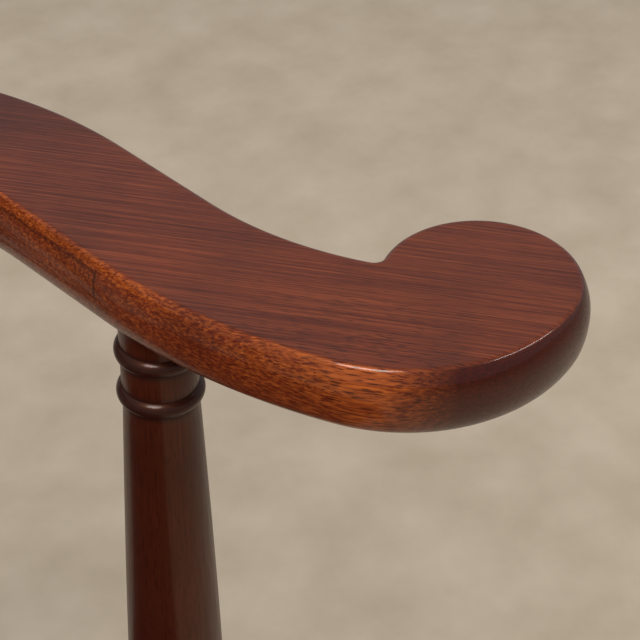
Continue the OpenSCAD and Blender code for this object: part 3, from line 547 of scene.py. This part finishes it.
def rod(radius, length, place, segments):
    """A round bar along Z, about its middle, as a bmesh."""
    bm = bmesh.new()
    bmesh.ops.create_cone(
        bm, cap_ends=True, segments=segments, radius1=radius, radius2=radius, depth=length, matrix=place
    )
    return bm


def prism(outline, depth, place):
    """A flat outline, run through a depth along its own Z and then placed, as a bmesh."""
    bm = bmesh.new()
    bm.faces.new([bm.verts.new((x, y, 0)) for x, y in outline])
    thicken(bm, depth)
    bmesh.ops.transform(bm, matrix=place, verts=bm.verts)
    bmesh.ops.recalc_face_normals(bm, faces=bm.faces)
    return bm


def round_edges(bm, edges, radius, segments=3):
    bmesh.ops.bevel(
        bm, geom=edges, offset=radius, affect="EDGES", segments=segments, profile=0.5, material=-1
    )


def soften(bm, radius):
    """Rounds every edge that turns by more than 50 degrees."""
    sharp = math.radians(50)
    round_edges(bm, [e for e in bm.edges if e.calc_face_angle(0) > sharp], radius)


def lathe(line):
    """A turned solid through points [radius, height] that start and end on the axis, as a bmesh."""
    bm = bmesh.new()
    verts = [bm.verts.new((r, 0, z)) for r, z in line]
    edges = [bm.edges.new(pair) for pair in zip(verts, verts[1:])]
    bmesh.ops.spin(
        bm, geom=verts + edges, cent=(0, 0, 0), axis=UP, angle=math.tau, steps=112, use_merge=True
    )
    bmesh.ops.remove_doubles(bm, verts=bm.verts, dist=1e-6)
    return bm


def arc(x, y, radius, start, stop, steps):
    """Points of an arc about [x, y], between two angles in degrees."""
    turns = [math.radians(start + (stop - start) * i / steps) for i in range(steps + 1)]
    return [(x + radius * math.cos(a), y + radius * math.sin(a)) for a in turns]


def spun_about(degrees, axis="Z"):
    return Matrix.Rotation(math.radians(degrees), 4, axis)


def on_side(k):
    """Turns the seat frame's own axes to a side: 0 front right, 1 back right, and so on round."""
    return spun_about(cornerwise + 90 * k)


# Lays an outline's X along Y and its Y upwards, and its depth along X
ALONG_X = spun_about(90) @ spun_about(90, "X")


# The arm, whose pieces run on past their laps before these are cut

cut_over = 15 * MM


def carry(bm, vert, centre, degrees, steps):
    """Carries an outline on from vert round a centre, and returns its new end."""
    done = bmesh.ops.spin(
        bm, geom=[vert], cent=(centre.x, centre.y, vert.co.z), axis=UP,
        angle=math.radians(degrees), steps=steps,
    )
    return verts_in(done["geom_last"])[0]


def draw(bm, vert, place):
    """Carries an outline on from vert straight to a place, and returns its new end."""
    end = bmesh.ops.extrude_vert_indiv(bm, verts=[vert])["verts"][0]
    end.co = place
    return end


def shape_border(bm, face, profile):
    """Carries a flat face on through a profile of steps inwards and outwards, and leaves a
    narrow flat rim inside its border."""
    rim_w = 0.4 * MM
    was_in = was_out = 0
    for now_in, now_out in profile:
        bmesh.ops.inset_region(
            bm, faces=[face], thickness=now_in - was_in, depth=now_out - was_out, use_even_offset=True
        )
        was_in, was_out = now_in, now_out
    bmesh.ops.inset_region(bm, faces=[face], thickness=rim_w, depth=0, use_even_offset=True)


def side_profile(height):
    """Steps inwards and upwards of an arm's side, which leans in towards a small rounded edge."""
    side_steps, edge_steps = 8, 6
    side_h = height - edge_r
    lean = math.atan(2 * side_swell / side_h)
    side_h += edge_r * math.sin(lean)
    profile = []
    for i in range(1, side_steps + 1):
        t = i / side_steps
        profile.append((side_swell * t**2, side_h * t))
    for i in range(1, edge_steps + 1):
        a = lean + (math.pi / 2 - lean) * i / edge_steps
        profile.append((side_swell + edge_r * (math.cos(lean) - math.cos(a)),
                        side_h + edge_r * (math.sin(a) - math.sin(lean))))
    return profile


def under_profile():
    """Steps inwards and downwards of an arm's underside, a quarter ellipse."""
    steps = 12
    quarter = [math.pi / 2 * i / steps for i in range(1, steps + 1)]
    return [(under_in * (1 - math.cos(a)), under_up * math.sin(a)) for a in quarter]


def arm_board(bm, first, last, side):
    """Closes an arm's outline, gives it the arm's thickness and rounds its top and underside."""
    bmesh.ops.contextual_create(bm, geom=[first, last])
    face = bmesh.ops.contextual_create(bm, geom=bm.edges[:])["faces"][0]
    raised = bmesh.ops.extrude_face_region(bm, geom=[face])["geom"]
    top = next(g for g in raised if isinstance(g, bmesh.types.BMFace))
    widest = 0.5 * MM
    bmesh.ops.translate(bm, verts=top.verts, vec=(0, 0, widest))
    bmesh.ops.recalc_face_normals(bm, faces=bm.faces)
    shape_border(bm, top, side_profile(arm_high - arm_low - under_up - widest))
    bottom = min(bm.faces, key=lambda f: f.calc_center_median().z)
    shape_border(bm, bottom, under_profile())
    bmesh.ops.scale(bm, vec=(side, 1, 1), verts=bm.verts)


def across_arm(side, y, z, far_y, far_z):
    """A box right across an arm's straight side, between two distances back and two heights."""
    x = side * side_x
    return block((x - arm_w, y, z), (x + arm_w, far_y, far_z))


def hand_rest(side, name, finish):
    """The scrolled end of an arm, which keeps the lower half of the lap behind its joint."""
    bm = bmesh.new()
    z = arm_low + under_up
    first = bm.verts.new((side_x - arm_w / 2, joint_y + lap + cut_over, z))
    end = draw(bm, first, (side_x - arm_w / 2, joint_y, z))
    end = carry(bm, end, inner_sweep_c, sweep_turn, 24)
    end = carry(bm, end, roll_c, 90 + roll_turn - sweep_turn, 56)
    end = carry(bm, end, scroll_c, 90 - roll_turn + notch_from_scroll, 110)
    end = carry(bm, end, notch_c, notch_from_sweep - 180 - notch_from_scroll, 8)
    end = carry(bm, end, outer_sweep_c, 180 - notch_from_sweep, 28)
    end = draw(bm, end, (side_x + arm_w / 2, joint_y + lap + cut_over, z))
    arm_board(bm, first, end, side)
    piece = new_piece(bm, name, finish, name.replace("rest", "piece"))
    combine(piece, across_arm(side, joint_y + lap, 0, 1, 1))
    combine(piece, across_arm(side, joint_y, arm_mid, 1, 1))
    shade(piece)


def arm_sweep(side, name, finish):
    """The curved back piece of an arm, which laps the hand rest and the other back piece."""
    lap_end = 90 + lap_turn
    bm = bmesh.new()
    z = arm_low + under_up
    first = bm.verts.new((side_x - arm_w / 2, joint_y - cut_over, z))
    end = draw(bm, first, (side_x - arm_w / 2, side_y, z))
    end = carry(bm, end, side_c, arc_joint, 50)
    end = carry(bm, end, back_c, lap_end - arc_joint, 40)
    end = draw(bm, end, end.co + cut_over * turned(lap_end + 90))
    end = draw(bm, end, end.co + arm_w * turned(lap_end))
    end = draw(bm, end, end.co - cut_over * turned(lap_end + 90))
    end = carry(bm, end, back_c, arc_joint - lap_end, 40)
    end = carry(bm, end, side_c, -arc_joint, 50)
    end = draw(bm, end, (side_x + arm_w / 2, joint_y - cut_over, z))
    arm_board(bm, first, end, side)
    piece = new_piece(bm, name, finish, name.replace("sweep", "back"))
    combine(piece, across_arm(side, -1, 0, joint_y, 1))
    combine(piece, across_arm(side, -1, 0, joint_y + lap, arm_mid))

    # Past the back lap nothing is left, and in it the right piece keeps the upper half
    x0, x1 = sorted((0, -side * arm_w * 2))
    y1 = back_r + arm_w
    past_lap = Matrix.Translation(back_c) @ spun_about(side * lap_turn)
    combine(piece, block((x0, 0, 0), (x1, y1, 1), past_lap))
    in_lap = Matrix.Translation(back_c) @ spun_about(-side * lap_turn)
    z0, z1 = (0, arm_mid) if side > 0 else (arm_mid, 1)
    combine(piece, block((x0, 0, z0), (x1, y1, z1), in_lap))

    for turn in CREST_SCREWS:
        at = back_c + crest_screw_r * turned(90 - turn) + arm_mid * UP
        combine(piece, rod(screw_bore_r, 2 * (arm_high - arm_low), Matrix.Translation(at), 40))
    shade(piece)


hand_rest(1, "right_hand_rest", arm_wood)
hand_rest(-1, "left_hand_rest", left_arm_wood)
arm_sweep(1, "right_arm_sweep", arm_wood)
arm_sweep(-1, "left_arm_sweep", left_arm_wood)


# The crest on the arm's back

crest_span = 41
crest_h = 88 * MM
crest_end_h = 5 * MM
crest_top_t = 17 * MM


def crest_height(turn):
    """Height of the crest at an angle off its middle."""
    t = abs(turn) / crest_span
    swell = 0.5 + 0.5 * math.cos(math.pi * t**1.2)
    return crest_end_h + (crest_h - crest_end_h) * swell * (1 - 0.1 * math.sin(math.pi * t) ** 2)


def crest():
    """The section at full height is spun round the back, and then drawn down towards its ends."""
    half = crest_top_t / 2
    section = [(crest_back - crest_foot_t, 0), (crest_back, 0)]
    section += arc(crest_back - half, crest_h - half, half, 0, 180, 24)
    bm = bmesh.new()
    end = turned(90 - crest_span)
    verts = [bm.verts.new(back_c + r * end + (arm_high + z) * UP) for r, z in section]
    edges = [bm.edges.new((a, b)) for a, b in zip(verts, verts[1:] + verts[:1])]
    bmesh.ops.spin(
        bm, geom=verts + edges, cent=back_c, axis=UP, angle=math.radians(2 * crest_span), steps=160
    )
    bmesh.ops.holes_fill(bm, edges=bm.edges)
    for vert in bm.verts:
        place = vert.co - back_c
        turn = 90 - degrees_of(place)
        height = crest_height(turn)
        if place.z > arm_high + 1e-5:
            r = math.hypot(place.x, place.y)
            over = (r - crest_back + half) / half
            rise = (place.z - arm_high - crest_h + half) / half
            wide = (crest_foot_t - (crest_foot_t - crest_top_t) * height / crest_h) / 2
            round_h = min(half, height * 0.8)
            now_r = crest_back - wide + wide * over
            now_z = arm_high + height - round_h + round_h * rise
            vert.co = back_c + now_r * turned(90 - turn) + now_z * UP
    new_piece(bm, "crest_rail", crest_wood, "crest")


crest()


# Legs and turned posts


def leg_prism(top):
    """A square leg with its outer corner towards -Y rounded and its inner corner chamfered."""
    half = leg_w / 2
    bm = block((-half, -half, 0), (half, half, top))
    upright = [e for e in bm.edges if abs(e.verts[0].co.z - e.verts[1].co.z) > half]
    outer = [e for e in upright if e.verts[0].co.x < 0 and e.verts[0].co.y < 0]
    inner = [e for e in upright if e.verts[0].co.x > 0 and e.verts[0].co.y > 0]
    sides = [e for e in upright if e not in outer + inner]
    round_edges(bm, outer, leg_corner_r, 8)
    round_edges(bm, inner, leg_chamfer, 1)
    round_edges(bm, [e for e in sides if e.is_valid], edge_break)
    foot = [e for e in bm.edges if max(v.co.z for v in e.verts) < 1e-6]
    round_edges(bm, foot, 1.2 * MM)
    bmesh.ops.transform(bm, matrix=on_side(0), verts=bm.verts)
    return bm


def at_corner(k):
    """Places the front leg's frame at a corner: 0 front, 1 right, 2 back, 3 left."""
    return spun_about(90 * k) @ Matrix.Translation((0, -post_x, 0))


def put(piece, place):
    """Moves a piece's mesh to its place, and leaves its object at the origin."""
    piece.data.transform(place)


def column_line():
    """The column's outline from inside the square block up to the arm."""
    bead = 4.2 * MM
    bead_foot = bead + 0.8 * MM
    ring_c = 13.8 * MM
    neck = 15.8 * MM
    into_block = 4 * MM
    shaft_top_r = 15.7 * MM
    shaft_low = block_top + 24 * MM
    shaft_rise = lower_ring - bead - 2 * MM - shaft_low
    line = [(0, block_top - into_block), (foot_lip_r, block_top - into_block), (foot_lip_r, block_top)]
    line += arc(16.6 * MM, block_top + 6 * MM, 5 * MM, -78, 78, 20)
    line += arc(17 * MM, block_top + 16 * MM, 3 * MM, -75, 75, 14)
    line += arc(foot_r, block_top + 20.4 * MM, 4.2 * MM, 186, 120, 10)
    for i in range(33):
        t = i / 32
        line.append((shaft_top_r + (foot_r - shaft_top_r) * (1 - t**1.25), shaft_low + shaft_rise * t))
    for ring in (lower_ring, upper_ring):
        line.append((neck, ring - bead_foot))
        line += arc(ring_c, ring, bead, -64, 64, 18)
        line.append((neck, ring + bead_foot))
    line += [(neck, arm_low - 9 * MM), (16.1 * MM, arm_low - 6 * MM)]
    line += [(16.6 * MM, arm_low - 2.5 * MM), (17.2 * MM, arm_low), (0, arm_low)]
    return line


def post(k, name):
    """A square leg, pared to a cone above the rails, that carries on as a turned column."""
    piece = new_piece(leg_prism(block_top), name, post_wood, name.replace("turned_", ""))
    below = -1 * MM
    clear_r = leg_w * 0.9
    cone_low = block_top - 9 * MM
    cone_r = leg_w * 0.74
    pared = [(0, below), (clear_r, below), (clear_r, cone_low), (cone_r, cone_low),
             (foot_lip_r, block_top), (0, block_top)]
    combine(piece, lathe(pared), "INTERSECT")
    combine(piece, lathe(column_line()), "UNION")
    put(piece, at_corner(k))
    shade(piece, 28)


post(1, "turned_right_post")
post(2, "turned_back_post")
post(3, "turned_left_post")


def edge_strip(k):
    """What is taken off the top edge of a front rail, and of the leg beside it."""
    r = rail_edge_r
    over = 1 * MM
    corner = [(-over, over), (-over, -r)] + arc(r, -r, r, 180, 90, 8) + [(r, over)]
    place = on_side(k) @ Matrix.Translation((-half_side - over, -half_side, rail_top))
    return prism(corner, 2 * (half_side + over), place @ ALONG_X)


def front_leg():
    """The short front leg, cut out for the seat and rounded as the front rails are."""
    piece = new_piece(leg_prism(rail_top), "short_front_leg", post_wood, "front_leg")
    put(piece, at_corner(0))
    low = front_rail_t - rebate_w - half_side
    combine(piece, block((low, low, ledge), (0, 0, 1), on_side(0)))
    combine(piece, edge_strip(0))
    combine(piece, edge_strip(3))
    shade(piece)


front_leg()


# Seat rails, shoes and pegs


def seat_rail(k, name, finish):
    """A rail between two legs, with the ledge that the seat rests on."""
    front = k in (0, 3)
    outer = -half_side
    inner = outer + (front_rail_t if front else back_rail_t)
    section = [(outer, rail_low), (inner, rail_low), (inner, ledge), (inner - rebate_w, ledge),
               (inner - rebate_w, rail_top)]
    if front:
        section += arc(outer + rail_edge_r, rail_top - rail_edge_r, rail_edge_r, 90, 180, 8)
    else:
        section.append((outer, rail_top))
    start = Matrix.Translation((-inner_post, 0, 0))
    bm = prism(section, 2 * inner_post, on_side(k) @ start @ ALONG_X)
    along = on_side(k) @ Vector((1, 0, 0))
    long_edges = [e for e in bm.edges
                  if abs((e.verts[1].co - e.verts[0].co).normalized().dot(along)) > 0.9
                  and e.calc_face_angle(0) > math.radians(50)]
    round_edges(bm, long_edges, edge_break)
    new_piece(bm, name, finish, name.replace("board", "rail"))


seat_rail(0, "front_right_board", rail_wood)
seat_rail(1, "back_right_board", cross_rail_wood)
seat_rail(2, "back_left_board", rail_wood)
seat_rail(3, "front_left_board", cross_rail_wood)

shoe_h = 15 * MM
shoe_l = 132 * MM
shoe_t = 18 * MM
shoe_cove = 3 * MM


def shoe(side, name, finish):
    """The moulded block on a back rail that a splat stands in."""
    section = [(0, 0), (shoe_t, 0)] + arc(shoe_t, shoe_h, shoe_cove, 270, 180, 6)
    section += arc(0, shoe_h, shoe_cove, 0, -90, 6)
    corner = Matrix.Translation((-shoe_l / 2, half_side - shoe_t, rail_top))
    bm = prism(section, shoe_l, spun_about(-cornerwise * side) @ corner @ ALONG_X)
    soften(bm, 0.5 * MM)
    new_piece(bm, name, finish, name.replace("moulded_", ""))


shoe(1, "moulded_right_shoe", cross_rail_wood)
shoe(-1, "moulded_left_shoe", rail_wood)


def pegs():
    """Two pegs through each rail tenon, whose rounded ends stand a little proud."""
    proud = 0.4 * MM
    peg_r = 3 * MM
    length = 28 * MM
    x = inner_post + 10.5 * MM
    y = length / 2 - half_side - proud
    middle = (rail_low + ledge) / 2
    half_gap = 10 * MM
    bm = bmesh.new()
    for k in range(4):
        for at in ((-x, y, middle - half_gap), (-x, y, middle + half_gap),
                   (x, y, middle - half_gap), (x, y, middle + half_gap)):
            place = on_side(k) @ Matrix.Translation(at) @ spun_about(90, "X")
            bmesh.ops.create_cone(
                bm, cap_ends=True, segments=28, radius1=peg_r, radius2=peg_r, depth=length, matrix=place
            )
    soften(bm, proud)
    new_piece(bm, "peg_ends", post_wood, "rail_pegs")


pegs()


# Pierced splats

shoe_top = rail_top + shoe_h
splat_foot_r = half_side - shoe_t / 2
arm_diagonal = math.radians(cornerwise) + math.asin(-back_c.y / back_r / math.sqrt(2))
splat_head_r = back_r * math.cos(arm_diagonal) * math.sqrt(2) - arm_w / 2 + 16 * MM
splat_tilt = math.atan((splat_head_r - splat_foot_r) / (arm_low - shoe_top))
splat_l = (arm_low - shoe_top) / math.cos(splat_tilt)
strap_w = 10.5 * MM
foot_w = 47 * MM
head_w = 72 * MM
end_h = 14 * MM

# The straps' routes: millimetres from the middle, and height as a share of the board's length
OUTER_STRAP = [(40, 0), (33, 0.2), (37, 0.4), (57, 0.62), (66, 0.82), (64, 1)]
INNER_STRAP = [(15, 0), (17, 0.14), (0, 0.31), (-27, 0.47), (-21, 0.59), (4, 0.69), (32, 0.82), (44, 1)]


def smooth_route(route, side):
    """A smooth curve through a strap's route, on one side of the board."""
    steps = 12
    stops = [Vector((side * x * MM, y * splat_l)) for x, y in route]
    stops = [2 * stops[0] - stops[1]] + stops + [2 * stops[-1] - stops[-2]]
    curve = []
    for i in range(1, len(stops) - 2):
        a, b, c, d = stops[i - 1:i + 3]
        for n in range(steps):
            t = n / steps
            curve.append(0.5 * (2 * b + (c - a) * t + (2 * a - 5 * b + 4 * c - d) * t**2
                                + (3 * b - a - 3 * c + d) * t**3))
    return curve + [stops[-2]]


def strap(route, side, half_t):
    """A flat strap along its route, with softly rounded edges."""
    curve = smooth_route(route, side)
    bm = bmesh.new()
    left, right = bm.verts.new(), bm.verts.new()
    bm.edges.new((left, right))
    for i, point in enumerate(curve):
        if i > 0:
            # The new vertex that an edge joins to the old left one is the new left one
            across = bm.edges.get((left, right))
            new = verts_in(bmesh.ops.extrude_edge_only(bm, edges=[across])["geom"])
            left, right = sorted(new, key=lambda v: bm.edges.get((left, v)) is None)
        way = (curve[min(i + 1, len(curve) - 1)] - curve[max(i - 1, 0)]).normalized()
        outwards = Vector((-way.y, way.x)) * strap_w / 2
        left.co = (*(point + outwards), -half_t)
        right.co = (*(point - outwards), -half_t)
    thicken(bm, 2 * half_t)
    soften(bm, 1.1 * MM)
    return bm


def splat(side, name):
    """The head and the foot of the board are solid, and four straps cross between them."""
    half_t = 5 * MM
    into = 1.5 * MM
    foot_side = arc(foot_w, end_h, 9 * MM, 270, 180, 8)
    foot = [(-foot_w, -into), (foot_w, -into)] + foot_side + [(0, end_h)]
    foot += [(-x, y) for x, y in reversed(foot_side)]
    head_side = arc(head_w, splat_l - end_h, 10 * MM, 180, 90, 8)
    head = [(head_w, splat_l + into), (-head_w, splat_l + into)]
    head += [(-x, y) for x, y in reversed(head_side)] + [(0, splat_l - end_h)] + head_side
    down = Matrix.Translation((0, 0, -half_t))
    piece = new_piece(prism(foot, 2 * half_t, down), name, splat_wood, name.replace("pierced_", ""))
    combine(piece, prism(head, 2 * half_t, down), "UNION")
    for route, way, thinner in ((OUTER_STRAP, 1, 0.15), (OUTER_STRAP, -1, 0.15),
                                (INNER_STRAP, 1, 0.25), (INNER_STRAP, -1, 0.6)):
        combine(piece, strap(route, way, half_t - thinner * MM), "UNION")
    lean = spun_about(-cornerwise * side) @ Matrix.Translation((0, splat_foot_r, shoe_top))
    put(piece, lean @ spun_about(90 - math.degrees(splat_tilt), "X"))
    shade(piece, 30)


splat(1, "pierced_right_splat")
splat(-1, "pierced_left_splat")


# The lift-out seat

seat_gap = 1 * MM
seat_lo = front_rail_t - rebate_w + seat_gap - half_side
seat_hi = half_side - back_rail_t + rebate_w - seat_gap
seat_notch = inner_post - seat_gap
wall_top = 438 * MM


def seat_outline(d):
    """The seat's outline on the frame's own axes, notched round the posts and drawn in by d."""
    lo, hi, p = seat_lo + d, seat_hi - d, seat_notch - d
    return [(lo, lo), (p, lo), (p, -p), (hi, -p), (hi, p), (p, p), (p, hi), (-p, hi), (-p, p), (lo, p)]


def inside_by(outline, x, y):
    """Distance of a point from the nearest side of an outline."""
    nearest = 1.0
    for (ax, ay), (bx, by) in zip(outline, outline[1:] + outline[:1]):
        sx, sy = bx - ax, by - ay
        t = max(0.0, min(1.0, ((x - ax) * sx + (y - ay) * sy) / (sx * sx + sy * sy)))
        nearest = min(nearest, math.hypot(x - ax - t * sx, y - ay - t * sy))
    return nearest


def padded_out(place, outline):
    """Moves a point of the seat's block to the padded shape: the sides pull in between the
    corners over the rails, the edge is full and the top is a low crown."""
    full_from = 435 * MM
    pull = 2.5 * MM
    edge_rise = 7 * MM
    edge_run = 12 * MM
    swell_room = 3 * MM
    dome = seat_high - wall_top - edge_rise - swell_room
    half = (seat_hi - seat_lo) / 2
    middle = (seat_hi + seat_lo) / 2
    across, along = (place.x - middle) / half, (place.y - middle) / half
    share = max(0, min(1, (place.z - rail_top) / (wall_top - rail_top)))
    if place.z > full_from:
        depth = inside_by(outline, place.x, place.y)
        lift = (1 - min(abs(across), 1) ** 2.4) * (1 - min(abs(along), 1) ** 2.4)
        place.z += edge_rise * math.sin(math.pi / 2 * min(1, depth / edge_run))
        place.z += dome * lift * min(1, depth / (4 * edge_run))
    place.x -= pull * share * across**9 * (1 - along**2)
    place.y -= pull * share * along**9 * (1 - across**2)
    return place


def swell_padding(piece):
    """Swells all but the held part of the padding by a cloth simulation, and limits how far it
    moves sideways, down and up."""
    slip = 1 * MM
    swell = 8 * MM
    start = [v.co.copy() for v in piece.data.vertices]
    cloth = piece.modifiers.new("swell", "CLOTH")
    cloth.settings.use_pressure = True
    cloth.settings.uniform_pressure_force = 4
    cloth.settings.effector_weights.gravity = 0
    cloth.settings.vertex_group_mass = "held"
    for number in range(1, 21):
        bpy.context.scene.frame_set(number)
    settle(piece)
    bpy.context.scene.frame_set(1)
    for vert, was in zip(piece.data.vertices, start):
        move = vert.co - was
        sideways = Vector((move.x, move.y, 0))
        if sideways.length > slip:
            sideways *= slip / sideways.length
        vert.co = was + sideways + max(-slip, min(swell, move.z)) * UP


def smooth_top(piece):
    """Evens out the padding's top, and makes the whole mesh finer."""
    bm = bmesh.new()
    bm.from_mesh(piece.data)
    top = [v for v in bm.verts if v.co.z > wall_top + 4 * MM]
    for _ in range(6):
        bmesh.ops.smooth_vert(
            bm, verts=top, factor=0.5, use_axis_x=True, use_axis_y=True, use_axis_z=True
        )
    bm.to_mesh(piece.data)
    bm.free()
    finer = piece.modifiers.new("finer", "SUBSURF")
    finer.levels = finer.render_levels = 1
    settle(piece)


def padded_seat():
    """The covered seat: a block with the seat's outline, padded out and then swollen."""
    outline = seat_outline(0.3 * MM)
    base = prism(outline, wall_top - seat_low, on_side(0) @ Matrix.Translation((0, 0, seat_low)))
    piece = new_piece(
        base, "padded_seat", wool, "seat_cover", "seat_stuffing", body="slip_seat", slot="seat_fabric"
    )
    grid = piece.modifiers.new("grid", "REMESH")
    grid.mode, grid.voxel_size = "VOXEL", 5 * MM
    settle(piece)
    held = piece.vertex_groups.new(name="held")
    there, back = on_side(0), on_side(0).inverted()
    for vert in piece.data.vertices:
        place = padded_out(back @ vert.co, outline)
        vert.co = there @ place
        if place.z < wall_top + 1 * MM:
            held.add([vert.index], 1, "REPLACE")
    swell_padding(piece)
    smooth_top(piece)
    shade(piece, 60)


padded_seat()


# CAD nodes that stay, and their finishes

KEPT = {
    "side_stretcher": long_wood,
    "middle_stretcher": deep_wood,
    "corner_blocks": block_wood,
    "block_screws": brass,
    "lap_dowels": block_wood,
    "crest_screws": brass,
    "seat_bar_front_right": bar_wood,
    "seat_bar_back_left": bar_wood,
    "seat_bar_back_right": cross_bar_wood,
    "seat_bar_front_left": cross_bar_wood,
    "webbing_lengthways": jute,
    "webbing_crossways": jute,
    "hessian": sacking,
    "cover_tacks": steel,
    "dust_cover": black_cloth,
}
for name, finish in KEPT.items():
    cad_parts[name].data.materials.clear()
    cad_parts[name].data.materials.append(finish)


# Floor, lights and world


def stage_floor():
    """A wide pale floor."""
    bm = bmesh.new()
    bmesh.ops.create_grid(bm, x_segments=1, y_segments=1, size=6)
    floor = scratch(bm, "floor")
    finish = Finish("pale_floor")
    patches = finish.noise(finish.place, 15, 4, 0.55)
    colour = finish.ramp(patches, (0.3, (0.44, 0.368, 0.27)), (0.7, (0.53, 0.448, 0.342)))
    finish.set(Base_Color=colour, Roughness=0.9, Specular_IOR_Level=0.1)
    finish.set(Emission_Color=colour, Emission_Strength=finish.math("MULTIPLY", finish.looked_at(), 0.28))
    floor.data.materials.append(finish.material)


def softbox(name, plan, elevation, distance, size, watts, colour):
    """An area light that looks at the right arm from a direction and an elevation."""
    light = bpy.data.lights.new(name, "AREA")
    light.shape = "RECTANGLE"
    light.size, light.size_y = size
    light.energy = watts
    light.color = colour
    lamp = bpy.data.objects.new(name, light)
    bpy.context.scene.collection.objects.link(lamp)
    rise = math.radians(elevation)
    way = Vector((*plan, 0)).normalized() * math.cos(rise) + math.sin(rise) * UP
    lamp.location = Vector((post_x, -0.05, arm_high)) + distance * way
    lamp.rotation_mode = "QUATERNION"
    lamp.rotation_quaternion = way.to_track_quat("Z", "Y")


stage_floor()
softbox("key_light", plan=(-0.925, -0.380), elevation=54, distance=2.5, size=(1.1, 1.1),
        watts=62, colour=(1.0, 0.98, 0.96))
softbox("side_light", plan=(0.545, -0.839), elevation=38, distance=2.4, size=(1.6, 0.14),
        watts=22, colour=(1.0, 0.96, 0.98))

world = bpy.data.worlds.new("studio")
bpy.context.scene.world = world
surround = Finish("studio", world, "Background")
strength = surround.math("MULTIPLY_ADD", surround.looked_at(), 0.32, 0.19)
surround.set(Color=(0.96, 0.94, 1.0), Strength=strength)
